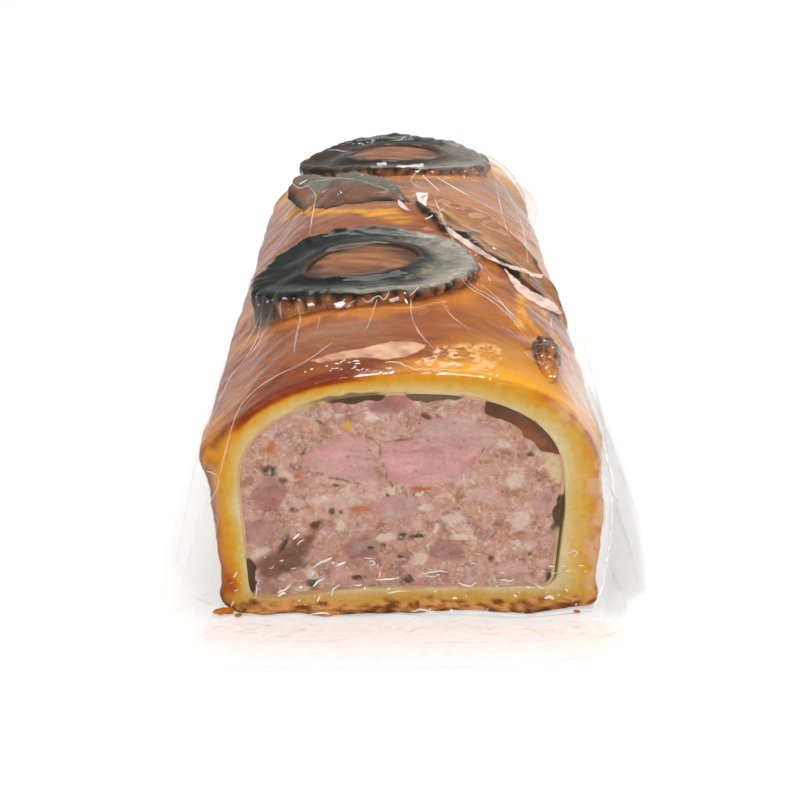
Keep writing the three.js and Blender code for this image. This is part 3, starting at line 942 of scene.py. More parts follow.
def shape_crust(points, depth, arcs, on_face):
    """The crust's relief: lumps, lobes, plugs in the rings, crumbly cuts and a wavy sole."""
    x, y, z = points[..., 0], points[..., 1], points[..., 2]
    shaped = baked_relief(points)
    skin = smoothstep(0.25, 0.0, depth)
    outermost = depth < 0.01
    outward = np.stack([x, 0 * depth, z - SPRING], -1)
    outward /= np.maximum(np.linalg.norm(outward, axis=-1, keepdims=True), 1e-6)
    lumps = 0.45 * fractal(points, (16, 11, 16), 3, SEED + 7) + 0.12 * fractal(points, 2.4, 2, SEED + 8)
    lumps = lumps + 0.4 * fractal(points, (9, 7, 6), 3, SEED + 26) * smoothstep(SPRING + 8, SPRING - 8, z)
    for lobe in LOBES:
        reach = lobe_reach(lobe, arcs, y, 0.25 * lumps)
        lumps = lumps + LOBE_HEIGHT * smoothstep(1.1, 0.92, reach) * outermost
    shaped += outward * (lumps * skin)[..., None]
    for spec in RINGS.values():
        plug_share = smoothstep(1.15, 0.95, hole_reach(spec, x, y)) * outermost * (z > ON_TOP)
        level = ring_level(spec, x, y) - WELL_DEPTH
        shaped[..., 2] += plug_share * (level + lumps - shaped[..., 2])
    crumb = 0.14 * fractal(points, 3.0, 3, SEED + 9) - 0.1
    crumb = crumb + 0.5 * fractal(points, (4.0, 4.0, 2.2), 3, SEED + 11) * smoothstep(6.0, 2.0, z)
    toward = np.where(y < 0, -1.0, 1.0)
    shaped[..., 1] += np.where(on_face & (depth > 0.02), crumb * toward, 0.0)
    wavy = 0.5 * fractal(points, (13, 9, 40), 2, SEED + 10)
    shaped[..., 2] += np.where(z < 8, wavy * skin * smoothstep(8, 0, z), 0.0)
    shaped[..., 2] = np.maximum(shaped[..., 2], LOWEST)
    return shaped


def build_crust(material):
    """The pastry shell as one closed skin, with the angle and arc length of its points for the colours."""
    angle = np.degrees(np.arctan2(OUTER[:, 1] - SPRING, OUTER[:, 0]))
    angle = np.where(angle < -90, angle + 360, angle)
    steps = np.diff(np.vstack([OUTER, OUTER[:1]]), axis=0)
    travelled = np.concatenate([[0.0], np.cumsum(np.hypot(*steps.T))])[:-1]
    arc = travelled[int(np.argmax(OUTER[:, 1]))] - travelled
    points, depth, on_face = crust_rows()
    arcs = np.broadcast_to(arc, depth.shape)
    cut = crumb_colour(np.broadcast_to(angle, depth.shape), depth, points)
    outside = skin_colour(points, arcs)
    blend = smoothstep(0.22, 0.0, depth) * smoothstep(0.0, 3.2, cut_distance(points[..., 1]))
    colours = np.where(on_face[..., None], mix(cut, outside, blend), outside)
    faces = grid_faces(len(points), AROUND, wrap_rows=True, wrap_columns=True)
    shaped = shape_crust(points, depth, arcs, on_face)
    make_piece("pastry_crust", shaped, faces, material, colours, ["crust"])


# The cut filling and its jelly

FILL_AROUND = 480
FRONT_RINGS = 128
BACK_RINGS = 40
FILL_LENGTHS = 10
JELLY_STEPS = 8
# How far left the meat lies on the sole without jelly under it
SOLE_REACH = 46.0

FORCEMEAT = srgb(196, 152, 130)
FORCEMEAT_TAN = srgb(190, 138, 108)
FORCEMEAT_PINK = srgb(202, 156, 144)
FORCEMEAT_GREY = srgb(176, 138, 120)
FORCEMEAT_BROWN = srgb(154, 104, 80)
HAM_PINK = srgb(206, 154, 148)
HAM_DEEP = srgb(190, 122, 124)
HAM_GREY = srgb(196, 156, 146)
HAM_PALE = srgb(208, 172, 160)
LILAC = srgb(148, 102, 91)
FAT = srgb(228, 204, 188)
DOUGH = srgb(226, 200, 148)
HERB = srgb(46, 56, 42)
PEPPER = srgb(88, 56, 36)
CARROT = srgb(192, 96, 44)
MUSTARD = srgb(214, 166, 48)
POCKET = srgb(113, 68, 40)
POCKET_DARK = srgb(74, 46, 32)
CREVICE = srgb(104, 66, 52)
# Crumbs of forcemeat: how many and how much they are warped, for each size, and colours with their shares
MEAT_CELLS = ((300, 2.0), (1500, 0.8))
CELL_SHADES = np.array([
    FORCEMEAT, FORCEMEAT_PINK, FORCEMEAT_GREY, FORCEMEAT_TAN, HAM_GREY, LILAC, FAT, FORCEMEAT_BROWN])
CELL_SHARES = (0.14, 0.22, 0.1, 0.16, 0.12, 0.1, 0.07, 0.09)
FIBRE = 1.7
FLECK_COUNT = 110
BIT_SQUARENESS = 2.4

# The photo's pixels on the front cut: the column of x = 0, the row of z = 0, and pixels in a mm
CUT_COLUMN = 411.0
CUT_ROW = 608.0
CUT_PIXELS = (3.67, 3.27)

# Meat pieces in the cut as outlines in pixels, with colour and fibre depth
CHUNKS = (
    (((307, 453), (318, 446), (331, 440), (344, 434), (363, 434), (370, 440), (372, 451), (379, 466),
      (378, 475), (363, 479), (348, 478), (331, 472), (319, 468), (309, 462)), HAM_PINK, 0.1),
    (((382, 443), (407, 438), (423, 440), (446, 441), (469, 441), (484, 447), (477, 456), (467, 466),
      (458, 478), (438, 482), (415, 484), (401, 482), (394, 476), (388, 466), (383, 453)), HAM_PINK, 0.12),
    (((418, 432), (431, 420), (458, 417), (484, 422), (498, 429), (499, 438), (486, 446), (469, 440),
      (430, 438)), HAM_GREY, 0.12),
    (((371, 405), (380, 399), (397, 397), (411, 396), (414, 405), (404, 412), (386, 413),
      (375, 411)), LILAC, 0.1),
    (((252, 492), (258, 482), (270, 474), (282, 475), (288, 486), (284, 500), (270, 507),
      (258, 505)), LILAC, 0.14),
    (((239, 520), (250, 517), (266, 516), (275, 524), (272, 536), (258, 543), (246, 540)), LILAC, 0.12),
    (((344, 545), (352, 535), (368, 533), (380, 541), (378, 553), (364, 557), (350, 555)), LILAC, 0.1),
    (((431, 545), (442, 538), (460, 541), (468, 550), (458, 559), (440, 560), (432, 554)), LILAC, 0.1),
    (((473, 488), (483, 483), (497, 488), (508, 497), (503, 506), (488, 502), (476, 496)), HAM_PALE, 0.06),
    (((374, 505), (385, 493), (404, 492), (418, 500), (415, 514), (398, 520), (380, 517)), HAM_GREY, 0.08),
    (((499, 568), (511, 560), (525, 563), (528, 572), (514, 577), (501, 576)), HAM_PALE, 0.05),
    (((334, 502), (341, 494), (351, 497), (352, 508), (342, 512)), HAM_PALE, 0.05),
    (((257, 585), (264, 578), (275, 582), (273, 592), (262, 596)), LILAC, 0.1),
    (((329, 573), (338, 565), (350, 569), (348, 580), (336, 582)), HAM_PINK, 0.08),
    (((415, 584), (422, 578), (430, 582), (427, 591), (418, 591)), HAM_DEEP, 0.08),
    (((532, 500), (540, 495), (549, 502), (547, 513), (537, 514)), HAM_GREY, 0.06),
)
# Small pieces in the cut: pixel column and row, half-width and half-height in pixels, turn in degrees
FAT_BITS = (
    (321, 497, 11, 5, 25), (342, 520, 5, 6, 0), (260, 548, 11, 6, 20), (388, 535, 10, 4, 15),
    (515, 478, 9, 7, 0), (458, 516, 11, 7, 0), (521, 520, 11, 11, 0), (462, 536, 11, 4, 0),
    (419, 558, 9, 7, 0), (476, 546, 4, 4, 0),
    (378, 418, 8, 4, 0), (263, 454, 6, 3, 0), (300, 588, 7, 3, 8), (508, 445, 9, 4, -30), (428, 505, 7, 4, 0),
)
DOUGH_BITS = ((555, 468, 8, 15, 30),)
HERBS = (
    (273, 467, 8, 4.4, 0), (295, 506, 5.5, 3.2, 0), (333, 507, 3.4, 4.4, 0), (403, 534, 4, 3.6, 0),
    (419, 534, 8, 1.7, 3), (531, 454, 3.4, 2.4, 0), (554, 578, 3.4, 4, 0), (324, 420, 5, 1.5, -28),
    (312, 581, 6, 3.4, 0), (284, 541, 2, 9, -24), (372, 545, 3, 1.5, 0), (461, 506, 2.2, 1.4, 0),
)
PEPPERS = (
    (286, 476, 5, 3.4, -20), (389, 492, 2.8, 2.8), (342, 509, 3, 3), (315, 522, 5, 4, 30),
    (359, 576, 7, 4, 0), (402, 555, 4, 2, 0), (385, 543, 3, 2, 0), (492, 512, 2.3, 2.3), (493, 558, 3, 3),
    (409, 578, 4, 4), (534, 553, 2.4, 1.8), (428, 415, 4.2, 2.2, -32), (338, 482, 6, 1.6, -12),
    (555, 525, 2.6, 3.4),
)
CARROTS = (
    (274, 446, 5.4, 6, 0), (316, 431, 3.6, 3.8, 0), (399, 406, 5, 3.6, 20), (275, 495, 2.4, 2.4, 0),
    (361, 506, 10, 3, 0), (300, 472, 4, 3, 0), (425, 486, 12, 1.6, 0),
)
MUSTARD_SEEDS = ((351, 424, 4.6, 4.4),)
# How the small pieces are painted, under and over the pockets: places, colour, its strength, where the edge
# fades out and is full, how uneven it is, how far the piece stands out, how much of the mottling it hides,
# and whether it is ragged
UNDER_BITS = (
    (FAT_BITS, FAT, 0.7, 1.25, 0.5, 2.2, 0.08, 0.6, False),
    (DOUGH_BITS, DOUGH, 0.75, 1.25, 0.5, 1.6, 0.0, 0.0, False),
)
OVER_BITS = (
    (CARROTS, CARROT, 0.9, 1.3, 0.3, 2.4, 0.0, 0.6, False),
    (HERBS, HERB, 0.92, 1.5, 0.7, 1.8, 0.0, 0.7, True),
    (PEPPERS, PEPPER, 0.9, 1.3, 0.5, 2.4, 0.0, 0.6, False),
    (MUSTARD_SEEDS, MUSTARD, 0.95, 1.1, 0.7, 0.5, 0.0, 0.8, False),
)
# Hollows in the cut as outlines, and cracks as lines, in pixels
POCKETS = (
    ((252, 562), (268, 550), (284, 541), (297, 536), (310, 526), (321, 518), (327, 524), (318, 538),
     (308, 551), (301, 566), (286, 573), (266, 577), (255, 572)),
)
CRACKS = (
    ((301, 453), (307, 451), (310, 445)),
    ((316, 469), (334, 475), (348, 479), (362, 481)),
    ((376, 438), (381, 443), (385, 456), (388, 472), (394, 484)),
    ((382, 441), (405, 438), (414, 436)),
    ((263, 507), (284, 506)), ((368, 433), (376, 438)),
    ((288, 530), (281, 541), (275, 552)),
    ((486, 448), (478, 457)), ((347, 590), (360, 588), (374, 585)),
)


def on_cut(pixels):
    """Places (x, z) in mm on the front cut of places in the photo's pixels."""
    pixels = np.asarray(pixels, float)
    x = (pixels[..., 0] - CUT_COLUMN) / CUT_PIXELS[0]
    z = (CUT_ROW - pixels[..., 1]) / CUT_PIXELS[1]
    return np.stack([x, z], -1)


def polygon_distance(x, z, corners):
    """Distance to a polygon's edge, negative inside."""
    nearest = np.full(x.shape, 1e9)
    inside = np.zeros(x.shape, bool)
    for a, b in zip(corners, np.roll(corners, -1, axis=0)):
        nearest = np.minimum(nearest, segment_distance(x, z, a, b))
        crosses = (a[1] > z) != (b[1] > z)
        rise = b[1] - a[1] if b[1] != a[1] else 1e-9
        inside ^= crosses & (x < a[0] + (z - a[1]) * (b[0] - a[0]) / rise)
    return np.where(inside, -nearest, nearest)


def jelly_depth(angle, z):
    """How far the filling stands back from the cavity at an angle (degrees) or low on the side."""
    depth = np.full(angle.shape, JELLY_FILM)
    depth = depth + JELLY_POOL * smoothstep(51, 44, angle) * smoothstep(11, 19, angle)
    depth = depth + JELLY_CROWN * smoothstep(56, 70, angle) * smoothstep(94, 86, angle)
    depth = depth + JELLY_LEFT_TOP * smoothstep(100, 107, angle) * smoothstep(143, 116, angle)
    right = np.abs(angle) < 60
    low_right = JELLY_FILM + 1.3 * bell(z, 28.0, 7.5)
    depth = np.where(right & (z < SPRING + 4), np.maximum(depth * (z > SPRING), low_right), depth)
    left = (np.abs(angle) > 125) & (z < SPRING + 10)
    wedge = JELLY_FILM + JELLY_WEDGE * smoothstep(22.0, 9.0, z) * smoothstep(3.5, 7.5, z)
    return np.where(left, wedge, depth)


def resample_loop(loop, count):
    """A closed line with points at even distances."""
    closed = np.vstack([loop, loop[:1]])
    along = np.concatenate([[0.0], np.cumsum(np.hypot(*np.diff(closed, axis=0).T))])
    wanted = np.linspace(0.0, along[-1], count, endpoint=False)
    return np.stack([np.interp(wanted, along, closed[:, i]) for i in range(2)], -1)


def filling_outline(cavity):
    """The meat's lumpy outline inside the cavity."""
    angle = np.degrees(np.arctan2(cavity[:, 1] - SPRING, cavity[:, 0]))
    depth = jelly_depth(angle, cavity[:, 1])
    place = np.stack([cavity[:, 0], cavity[:, 1], 0 * depth], -1)
    lumps = 0.5 * noise(place, 4.5, SEED + 20) + 0.45 * noise(place, 1.9, SEED + 21)
    depth = np.maximum(depth + lumps * np.minimum(0.8 * depth, 1.3), 0.12)
    sole = smoothstep(WALL["foot"] + 0.8 * CAVITY_CORNER, WALL["foot"] - SOLE_DIP, cavity[:, 1])
    sole = sole * smoothstep(-SOLE_REACH, -SOLE_REACH + 5.0, cavity[:, 0])
    depth = depth * (1.0 - sole) + (0.35 + 0.2 * lumps) * sole
    toward = np.stack([-cavity[:, 0], np.where(cavity[:, 1] < SPRING, 0.0, SPRING - cavity[:, 1])], -1)
    toward /= np.maximum(np.linalg.norm(toward, axis=1, keepdims=True), 1e-6)
    toward = toward * (1.0 - sole[:, None]) + np.array([0.0, 1.0]) * sole[:, None]
    toward /= np.linalg.norm(toward, axis=1, keepdims=True)
    return cavity + toward * depth[:, None]


def ellipse_field(x, z, row, wobble):
    """1 on the edge of a small piece given in pixels, less inside; wobble makes the edge uneven."""
    turn = math.radians(row[4]) if len(row) > 4 else 0.0
    middle = on_cut(row[:2])
    half_x, half_z = row[2] / CUT_PIXELS[0], row[3] / CUT_PIXELS[1]
    dx, dz = x - middle[0], z - middle[1]
    along = dx * math.cos(turn) + dz * math.sin(turn)
    across = -dx * math.sin(turn) + dz * math.cos(turn)
    reach = np.abs(along / half_x) ** BIT_SQUARENESS + np.abs(across / half_z) ** BIT_SQUARENESS
    return reach ** (1 / BIT_SQUARENESS) + wobble


def cell_pattern(x, z, place, count, warp, rng, seed):
    """Nearest of many random seeds for each point, and the distance to the border between cells."""
    seeds = np.stack([rng.uniform(-50, 50, count), rng.uniform(3, 70, count)], -1)
    warp_x = x + warp * fractal(place, 2.6 * warp, 2, seed)
    warp_z = z + warp * fractal(place, 2.6 * warp, 2, seed + 3)
    nearest = np.full(x.shape, 1e9)
    second = np.full(x.shape, 1e9)
    cell = np.zeros(x.shape, int)
    for i, (sx, sz) in enumerate(seeds):
        d = (warp_x - sx) ** 2 + (warp_z - sz) ** 2
        closer = d < nearest
        second = np.where(closer, nearest, np.minimum(second, d))
        cell = np.where(closer, i, cell)
        nearest = np.where(closer, d, nearest)
    return cell, np.sqrt(second) - np.sqrt(nearest)


class Paint:
    """Colour, relief and mottling of a cut, built up layer by layer."""

    def __init__(self, colour, height):
        self.colour = colour
        self.height = height
        self.mottle = np.ones(height.shape)

    def lay(self, shade, inside, strength, raised=0.0, hidden=0.0):
        """Lays a colour on where inside says, raises the relief and hides some of the mottling there."""
        self.colour = mix(self.colour, shade, strength * inside)
        self.height = self.height + raised * inside
        self.mottle = self.mottle * (1.0 - hidden * inside)


def paint_cells(paint, x, z, place, rng):
    """Crumbs of forcemeat, with gaps between some of them."""
    for count, warp in MEAT_CELLS:
        cell, border = cell_pattern(x, z, place, count, warp, rng, SEED + 32 + count)
        kinds = rng.choice(len(CELL_SHADES), count, p=CELL_SHARES)
        strength = rng.uniform(0.2, 0.85, count)[cell]
        paint.lay(CELL_SHADES[kinds[cell]], smoothstep(0.0, 0.5 * warp, border), strength)
        open_gap = smoothstep(0.1, 0.6, noise(place, 3 * warp, SEED + 33))
        paint.lay(CREVICE, smoothstep(0.3 * warp, 0.05 * warp, border) * open_gap, 0.55)
        paint.height = paint.height + 0.07 * warp * smoothstep(0.0, warp, border)


def paint_chunks(paint, x, z, wobble, clouds):
    """Pieces of ham and other meat, with fibres."""
    for index, (outline, shade, fibre_depth) in enumerate(CHUNKS):
        gap = polygon_distance(x, z, on_cut(outline)) + 2.2 * wobble
        inside = smoothstep(0.7, -0.5, gap)
        fibre_place = np.stack([x + 2 * clouds, z + clouds, np.full(x.shape, 9.0 * index)], -1)
        fibres = fractal(fibre_place, (7.0, 1.4, 1.0), 3, SEED + 36)
        meat = shade * (1.0 + FIBRE * fibre_depth * (fibres + 0.6 * clouds))[..., None]
        meat = mix(meat, HAM_DEEP, 0.25 * smoothstep(-2.5, 0.0, gap) + 0.3 * clouds)
        meat = mix(meat, HAM_PALE, -0.5 * clouds)
        paint.height = paint.height * (1.0 - 0.6 * inside)
        paint.lay(meat, inside, 0.9, raised=0.12, hidden=0.72)


def paint_bits(paint, kinds, x, z, place, wobble):
    """Small pieces of the given kinds."""
    for rows, shade, strength, fade, full, uneven, raised, hidden, ragged in kinds:
        for row in rows:
            inside = smoothstep(fade, full, ellipse_field(x, z, row, uneven * wobble))
            if ragged:
                inside = inside * smoothstep(-1.1, -0.2, noise(place, 0.8, SEED + 40))
            paint.lay(shade, inside, strength, raised, hidden)


def paint_pockets(paint, x, z, place, wobble):
    """Dark hollows."""
    for outline in POCKETS:
        gap = polygon_distance(x, z, on_cut(outline)) + 5.0 * wobble
        shade = mix(POCKET, POCKET_DARK, 0.35 + noise(place, 3.2, SEED + 39))
        paint.lay(shade, smoothstep(1.4, -1.8, gap), 0.85, raised=-0.2, hidden=0.85)


def paint_cracks(paint, x, z, place, clouds):
    """Broken dark lines between the pieces."""
    for line in CRACKS:
        track = on_cut(line)
        for a, b in zip(track[:-1], track[1:]):
            gap = segment_distance(x + 0.7 * noise(place, 1.6, SEED + 41), z + 0.4 * clouds, a, b)
            inside = smoothstep(0.42, 0.08, gap) * smoothstep(-0.7, 0.1, noise(place, 2.2, SEED + 42))
            paint.lay(CREVICE, inside, 0.75, raised=-0.2)


def paint_meat(x, z, flip):
    """Colour, relief and mottling of the cut filling; flip gives the other end its own pattern."""
    x = -x if flip else x
    place = np.stack([x, z, np.full(x.shape, 300.0 if flip else 0.0)], -1)
    rng = np.random.default_rng(SEED + (2 if flip else 1))
    paint = Paint(mix(FORCEMEAT, FORCEMEAT_TAN, 0.5 + 0.9 * fractal(place, 6.0, 3, SEED + 30)),
                  0.06 * fractal(place, 2.0, 3, SEED + 31))
    paint_cells(paint, x, z, place, rng)
    wobble = 0.2 * fractal(place, 4.0, 3, SEED + 34) + 0.1 * noise(place, 1.1, SEED + 35)
    clouds = fractal(place, 5.0, 3, SEED + 37)
    paint_chunks(paint, x, z, wobble, clouds)
    paint_bits(paint, UNDER_BITS, x, z, place, wobble)
    paint_pockets(paint, x, z, place, wobble)
    paint_bits(paint, OVER_BITS, x, z, place, wobble)
    paint_cracks(paint, x, z, place, clouds)
    flecks = np.stack([rng.uniform(-46, 46, FLECK_COUNT), rng.uniform(7, 64, FLECK_COUNT)], -1)
    sizes = rng.uniform(0.15, 0.5, FLECK_COUNT) ** 1.2
    for (fx, fz), size in zip(flecks, sizes):
        near = smoothstep(1.3, 0.5, np.hypot(x - fx, 1.4 * (z - fz)) / size + 2 * wobble)
        paint.lay(PEPPER, near, 0.5)
    return paint


# The middle of the filling's faces, and how far they lie behind the cut
FILL_MIDDLE = np.array([-1.5, 33.0])
FILL_INSET = 0.3


def build_filling(material, jelly_material):
    """The meat and the jelly round it, both running from cut to cut."""
    cavity = resample_loop(CAVITY, FILL_AROUND)
    outline = filling_outline(cavity)

    def face(flip):
        """Points and paint of a cut, in rings from the middle out."""
        rings = np.linspace(0.0, 1.0, (BACK_RINGS if flip else FRONT_RINGS) + 1)[1:]
        disc = FILL_MIDDLE + (outline - FILL_MIDDLE)[None] * rings[:, None, None]
        paint = paint_meat(disc[..., 0], disc[..., 1], flip)
        height = paint.height - FILL_INSET
        y = BACK + height if flip else FRONT - height
        return np.stack([disc[..., 0], y, disc[..., 1]], -1), paint

    front, front_paint = face(False)
    back, back_paint = face(True)
    stops = FRONT + LENGTH * np.arange(1, FILL_LENGTHS) / FILL_LENGTHS
    side = np.array([np.stack([outline[:, 0], np.full(FILL_AROUND, y), outline[:, 1]], -1) for y in stops])
    side_colour = np.broadcast_to(FORCEMEAT, side.shape)
    grid = np.concatenate([front, side, back[::-1]])
    tips = np.array([(FILL_MIDDLE[0], end[0, :, 1].mean(), FILL_MIDDLE[1]) for end in (front, back)])
    points = np.concatenate([tapered(grid).reshape(-1, 3), tapered(tips)])
    colours = np.concatenate([front_paint.colour, side_colour, back_paint.colour[::-1]]).reshape(-1, 3)
    colours = np.concatenate([colours, front_paint.colour[0, :1], back_paint.colour[0, :1]])
    mottle = np.concatenate([front_paint.mottle, np.ones(side.shape[:2]), back_paint.mottle[::-1]]).ravel()
    mottle = np.concatenate([mottle, np.ones(len(tips))])
    faces = grid_faces(len(grid), FILL_AROUND, wrap_columns=True).tolist()
    count = len(grid) * FILL_AROUND
    for i in range(FILL_AROUND):
        j = (i + 1) % FILL_AROUND
        faces.append([count, j, i])
        faces.append([count + 1, count - FILL_AROUND + i, count - FILL_AROUND + j])
    make_piece("meat_filling", points, faces, material, colours, ["filling"], {"Mottle": mottle})
    build_jelly(cavity, outline, jelly_material)


JELLY_BROWN = srgb(124, 68, 34)
JELLY_DARK = srgb(82, 50, 32)
JELLY_GREY = srgb(108, 82, 58)
JELLY_OLIVE = srgb(82, 57, 31)
JELLY_THIN = srgb(204, 164, 124)
JELLY_LIGHT = srgb(160, 100, 66)
# How far the jelly reaches into the pastry and the meat, how far its face lies behind the cut, and its dish
JELLY_INTO_PASTRY = 0.25
JELLY_INTO_MEAT = 0.15
JELLY_INSET = 0.2
JELLY_DISH = 0.15


def build_jelly(cavity, outline, material):
    """Set jelly: a closed band between the meat and the pastry."""
    outward = cavity - np.array([0.0, SPRING])
    outward /= np.linalg.norm(outward, axis=1, keepdims=True)
    outer = cavity + JELLY_INTO_PASTRY * outward
    inner = outline - JELLY_INTO_MEAT * outward
    thin = smoothstep(1.5, 0.9, np.linalg.norm(outer - inner, axis=1))
    across = np.linspace(0.0, 1.0, JELLY_STEPS + 1)
    front = []
    for t in across:
        loop = inner + (outer - inner) * t
        inset = (JELLY_INSET + JELLY_DISH * math.sin(math.pi * t)) * (1.0 - thin)
        front.append(np.stack([loop[:, 0], FRONT + inset, loop[:, 1]], -1))
    front = np.array(front)
    grid = np.concatenate([front, front[::-1] * np.array([1.0, -1.0, 1.0])])
    angle = np.degrees(np.arctan2(grid[..., 2] - SPRING, grid[..., 0]))
    across = np.concatenate([across, across[::-1]])[:, None]
    colour = mix(JELLY_BROWN, JELLY_DARK, 0.3 + 0.5 * fractal(grid, (6, 200, 6), 3, SEED + 50))
    glow = smoothstep(0.0, 0.7, fractal(grid, (4, 200, 4), 3, SEED + 51) + 0.5 - across)
    colour = mix(colour, JELLY_LIGHT, 0.4 * glow)
    colour = mix(colour, JELLY_DARK, 0.8 * smoothstep(0.55, 1.0, across + 0 * angle))
    colour = mix(colour, JELLY_DARK, smoothstep(34, 50, angle))
    colour = mix(colour, JELLY_GREY, smoothstep(56, 64, angle) * smoothstep(96, 90, angle))
    side = smoothstep(98, 106, angle) + smoothstep(-126, -132, angle) + smoothstep(8, 0, angle)
    colour = mix(colour, JELLY_OLIVE, side)
    colour = mix(colour, JELLY_THIN, thin[None, :] * np.ones(colour.shape[:2]))
    faces = grid_faces(len(grid), FILL_AROUND, wrap_rows=True, wrap_columns=True)
    make_piece("set_jelly", tapered(grid), faces, material, colour, ["jelly"])


# Pastry decoration

CHAR = srgb(15, 18, 15)
CHAR_BLUE = srgb(34, 46, 41)
CHAR_WARM = srgb(64, 48, 36)
# Grey of the film's painted sheen and highlights on the charred pastry
CHAR_SHEEN_GREY = srgb(164, 156, 140)
CHAR_BROWN = srgb(92, 62, 42)
DRIP_BROWN = srgb(206, 138, 88)
DRIP_DARK = srgb(60, 40, 27)

RING_AROUND = 400
RING_INNER = 7
RING_TOP = 26
RING_OUTER = 16
RING_BEADS = 40
BEAD_BULGE = 0.045
RING_SUNK = 1.2


def ring_shape(spec, seed):
    """Loops of a ring from the hole's foot over the top to the outer foot.

    Also how far out on the top each point is, from 0 to 1, how far down a wall, and its place on a bead.
    """
    theta = np.linspace(0.0, 2 * np.pi, RING_AROUND, endpoint=False)
    cos, sin = np.cos(theta), np.sin(theta)
    around = np.stack([cos * spec["rx"], sin * spec["ry"], np.full(RING_AROUND, seed * 40.0)], -1)
    drips = smoothstep(0.0, 0.45, np.abs(fractal(around, 5.2, 2, SEED + 60)))
    ragged = 0.6 * noise(around, 16.0, SEED + 61) + 0.5 * fractal(around, 5.0, 3, SEED + 62)
    edge = 1.0 + 0.034 * ragged + 0.012 * (drips - 0.7)
    hole_edge = RING_HOLE * (1.0 + 0.07 * noise(around, 22.0, SEED + 63))
    outer_x, outer_y = spec["x"] + spec["rx"] * edge * cos, spec["y"] + spec["ry"] * edge * sin
    hole_x = spec["x"] + spec["shift"] + spec["rx"] * hole_edge * cos
    hole_y = spec["y"] + spec["ry"] * hole_edge * sin + spec["tilt"] * spec["rx"] * hole_edge * cos
    phase = np.mod(RING_BEADS * theta / (2 * np.pi) + 0.9 * noise(around, 11.0, SEED + 69), 1.0)
    bead = np.sqrt(np.clip(1.0 - (2.0 * phase - 1.0) ** 2, 0.0, 1.0)) * smoothstep(-0.9, -0.6, cos)
    rows = []

    def top_height(x, y, f):
        """The dished top between a bead at the hole and a lip at the edge."""
        place = np.stack([x, y, np.full(x.shape, seed * 50.0)], -1)
        lip = 0.7 * bell(f, 0.92, 0.09) + 0.3 * bell(f, 0.1, 0.08) - 0.7 * bell(f, 0.45, 0.25)
        rough = 0.4 * fractal(place, 9.0, 3, SEED + 64)
        rough = rough + 0.35 * noise(around, 3.0, SEED + 68) * smoothstep(0.5, 1.0, f)
        rough = rough + 0.5 * (drips - 0.7) * smoothstep(0.8, 1.0, f)
        return np.maximum(ring_level(spec, x, y) + lip + rough - 0.3, dome_z(x, y) + 1.0)

    def add(x, y, z, out, down):
        """One loop, with its place on the top or the wall."""
        rows.append(np.stack([x, y, z, np.full(x.shape, out), np.full(x.shape, down)], -1))

    low, high = dome_z(hole_x, hole_y) - RING_SUNK, top_height(hole_x, hole_y, 0.0)
    for i in range(RING_INNER):
        t = i / RING_INNER
        add(hole_x, hole_y, low + (high - low) * t, 0.0, 1.0 - t)
    for i in range(RING_TOP + 1):
        f = i / RING_TOP
        x, y = hole_x + (outer_x - hole_x) * f, hole_y + (outer_y - hole_y) * f
        add(x, y, top_height(x, y, f), f, 0.0)
    high = top_height(outer_x, outer_y, 1.0)
    for i in range(1, RING_OUTER + 1):
        t = i / RING_OUTER
        fold = 0.06 * (drips - 0.75) * math.sin(math.pi * min(1.0, 0.15 + t))
        fold = fold + BEAD_BULGE * (bead - 0.5) * math.sin(math.pi * min(1.0, 1.25 * t))
        foot = 0.03 * smoothstep(0.6, 1.0, np.array(t)) * noise(around, 3.0, SEED + 65)
        swell = 1.0 + 0.014 * math.sin(math.pi * min(1.0, 2.2 * t)) - 0.025 * t + fold + foot
        x, y = spec["x"] + (outer_x - spec["x"]) * swell, spec["y"] + (outer_y - spec["y"]) * swell
        low = dome_z(x, y) - RING_SUNK
        add(x, y, high + (low - high) * t, 1.0, t)
    rows = np.array(rows)
    return rows[..., :3], rows[..., 3], rows[..., 4], bead


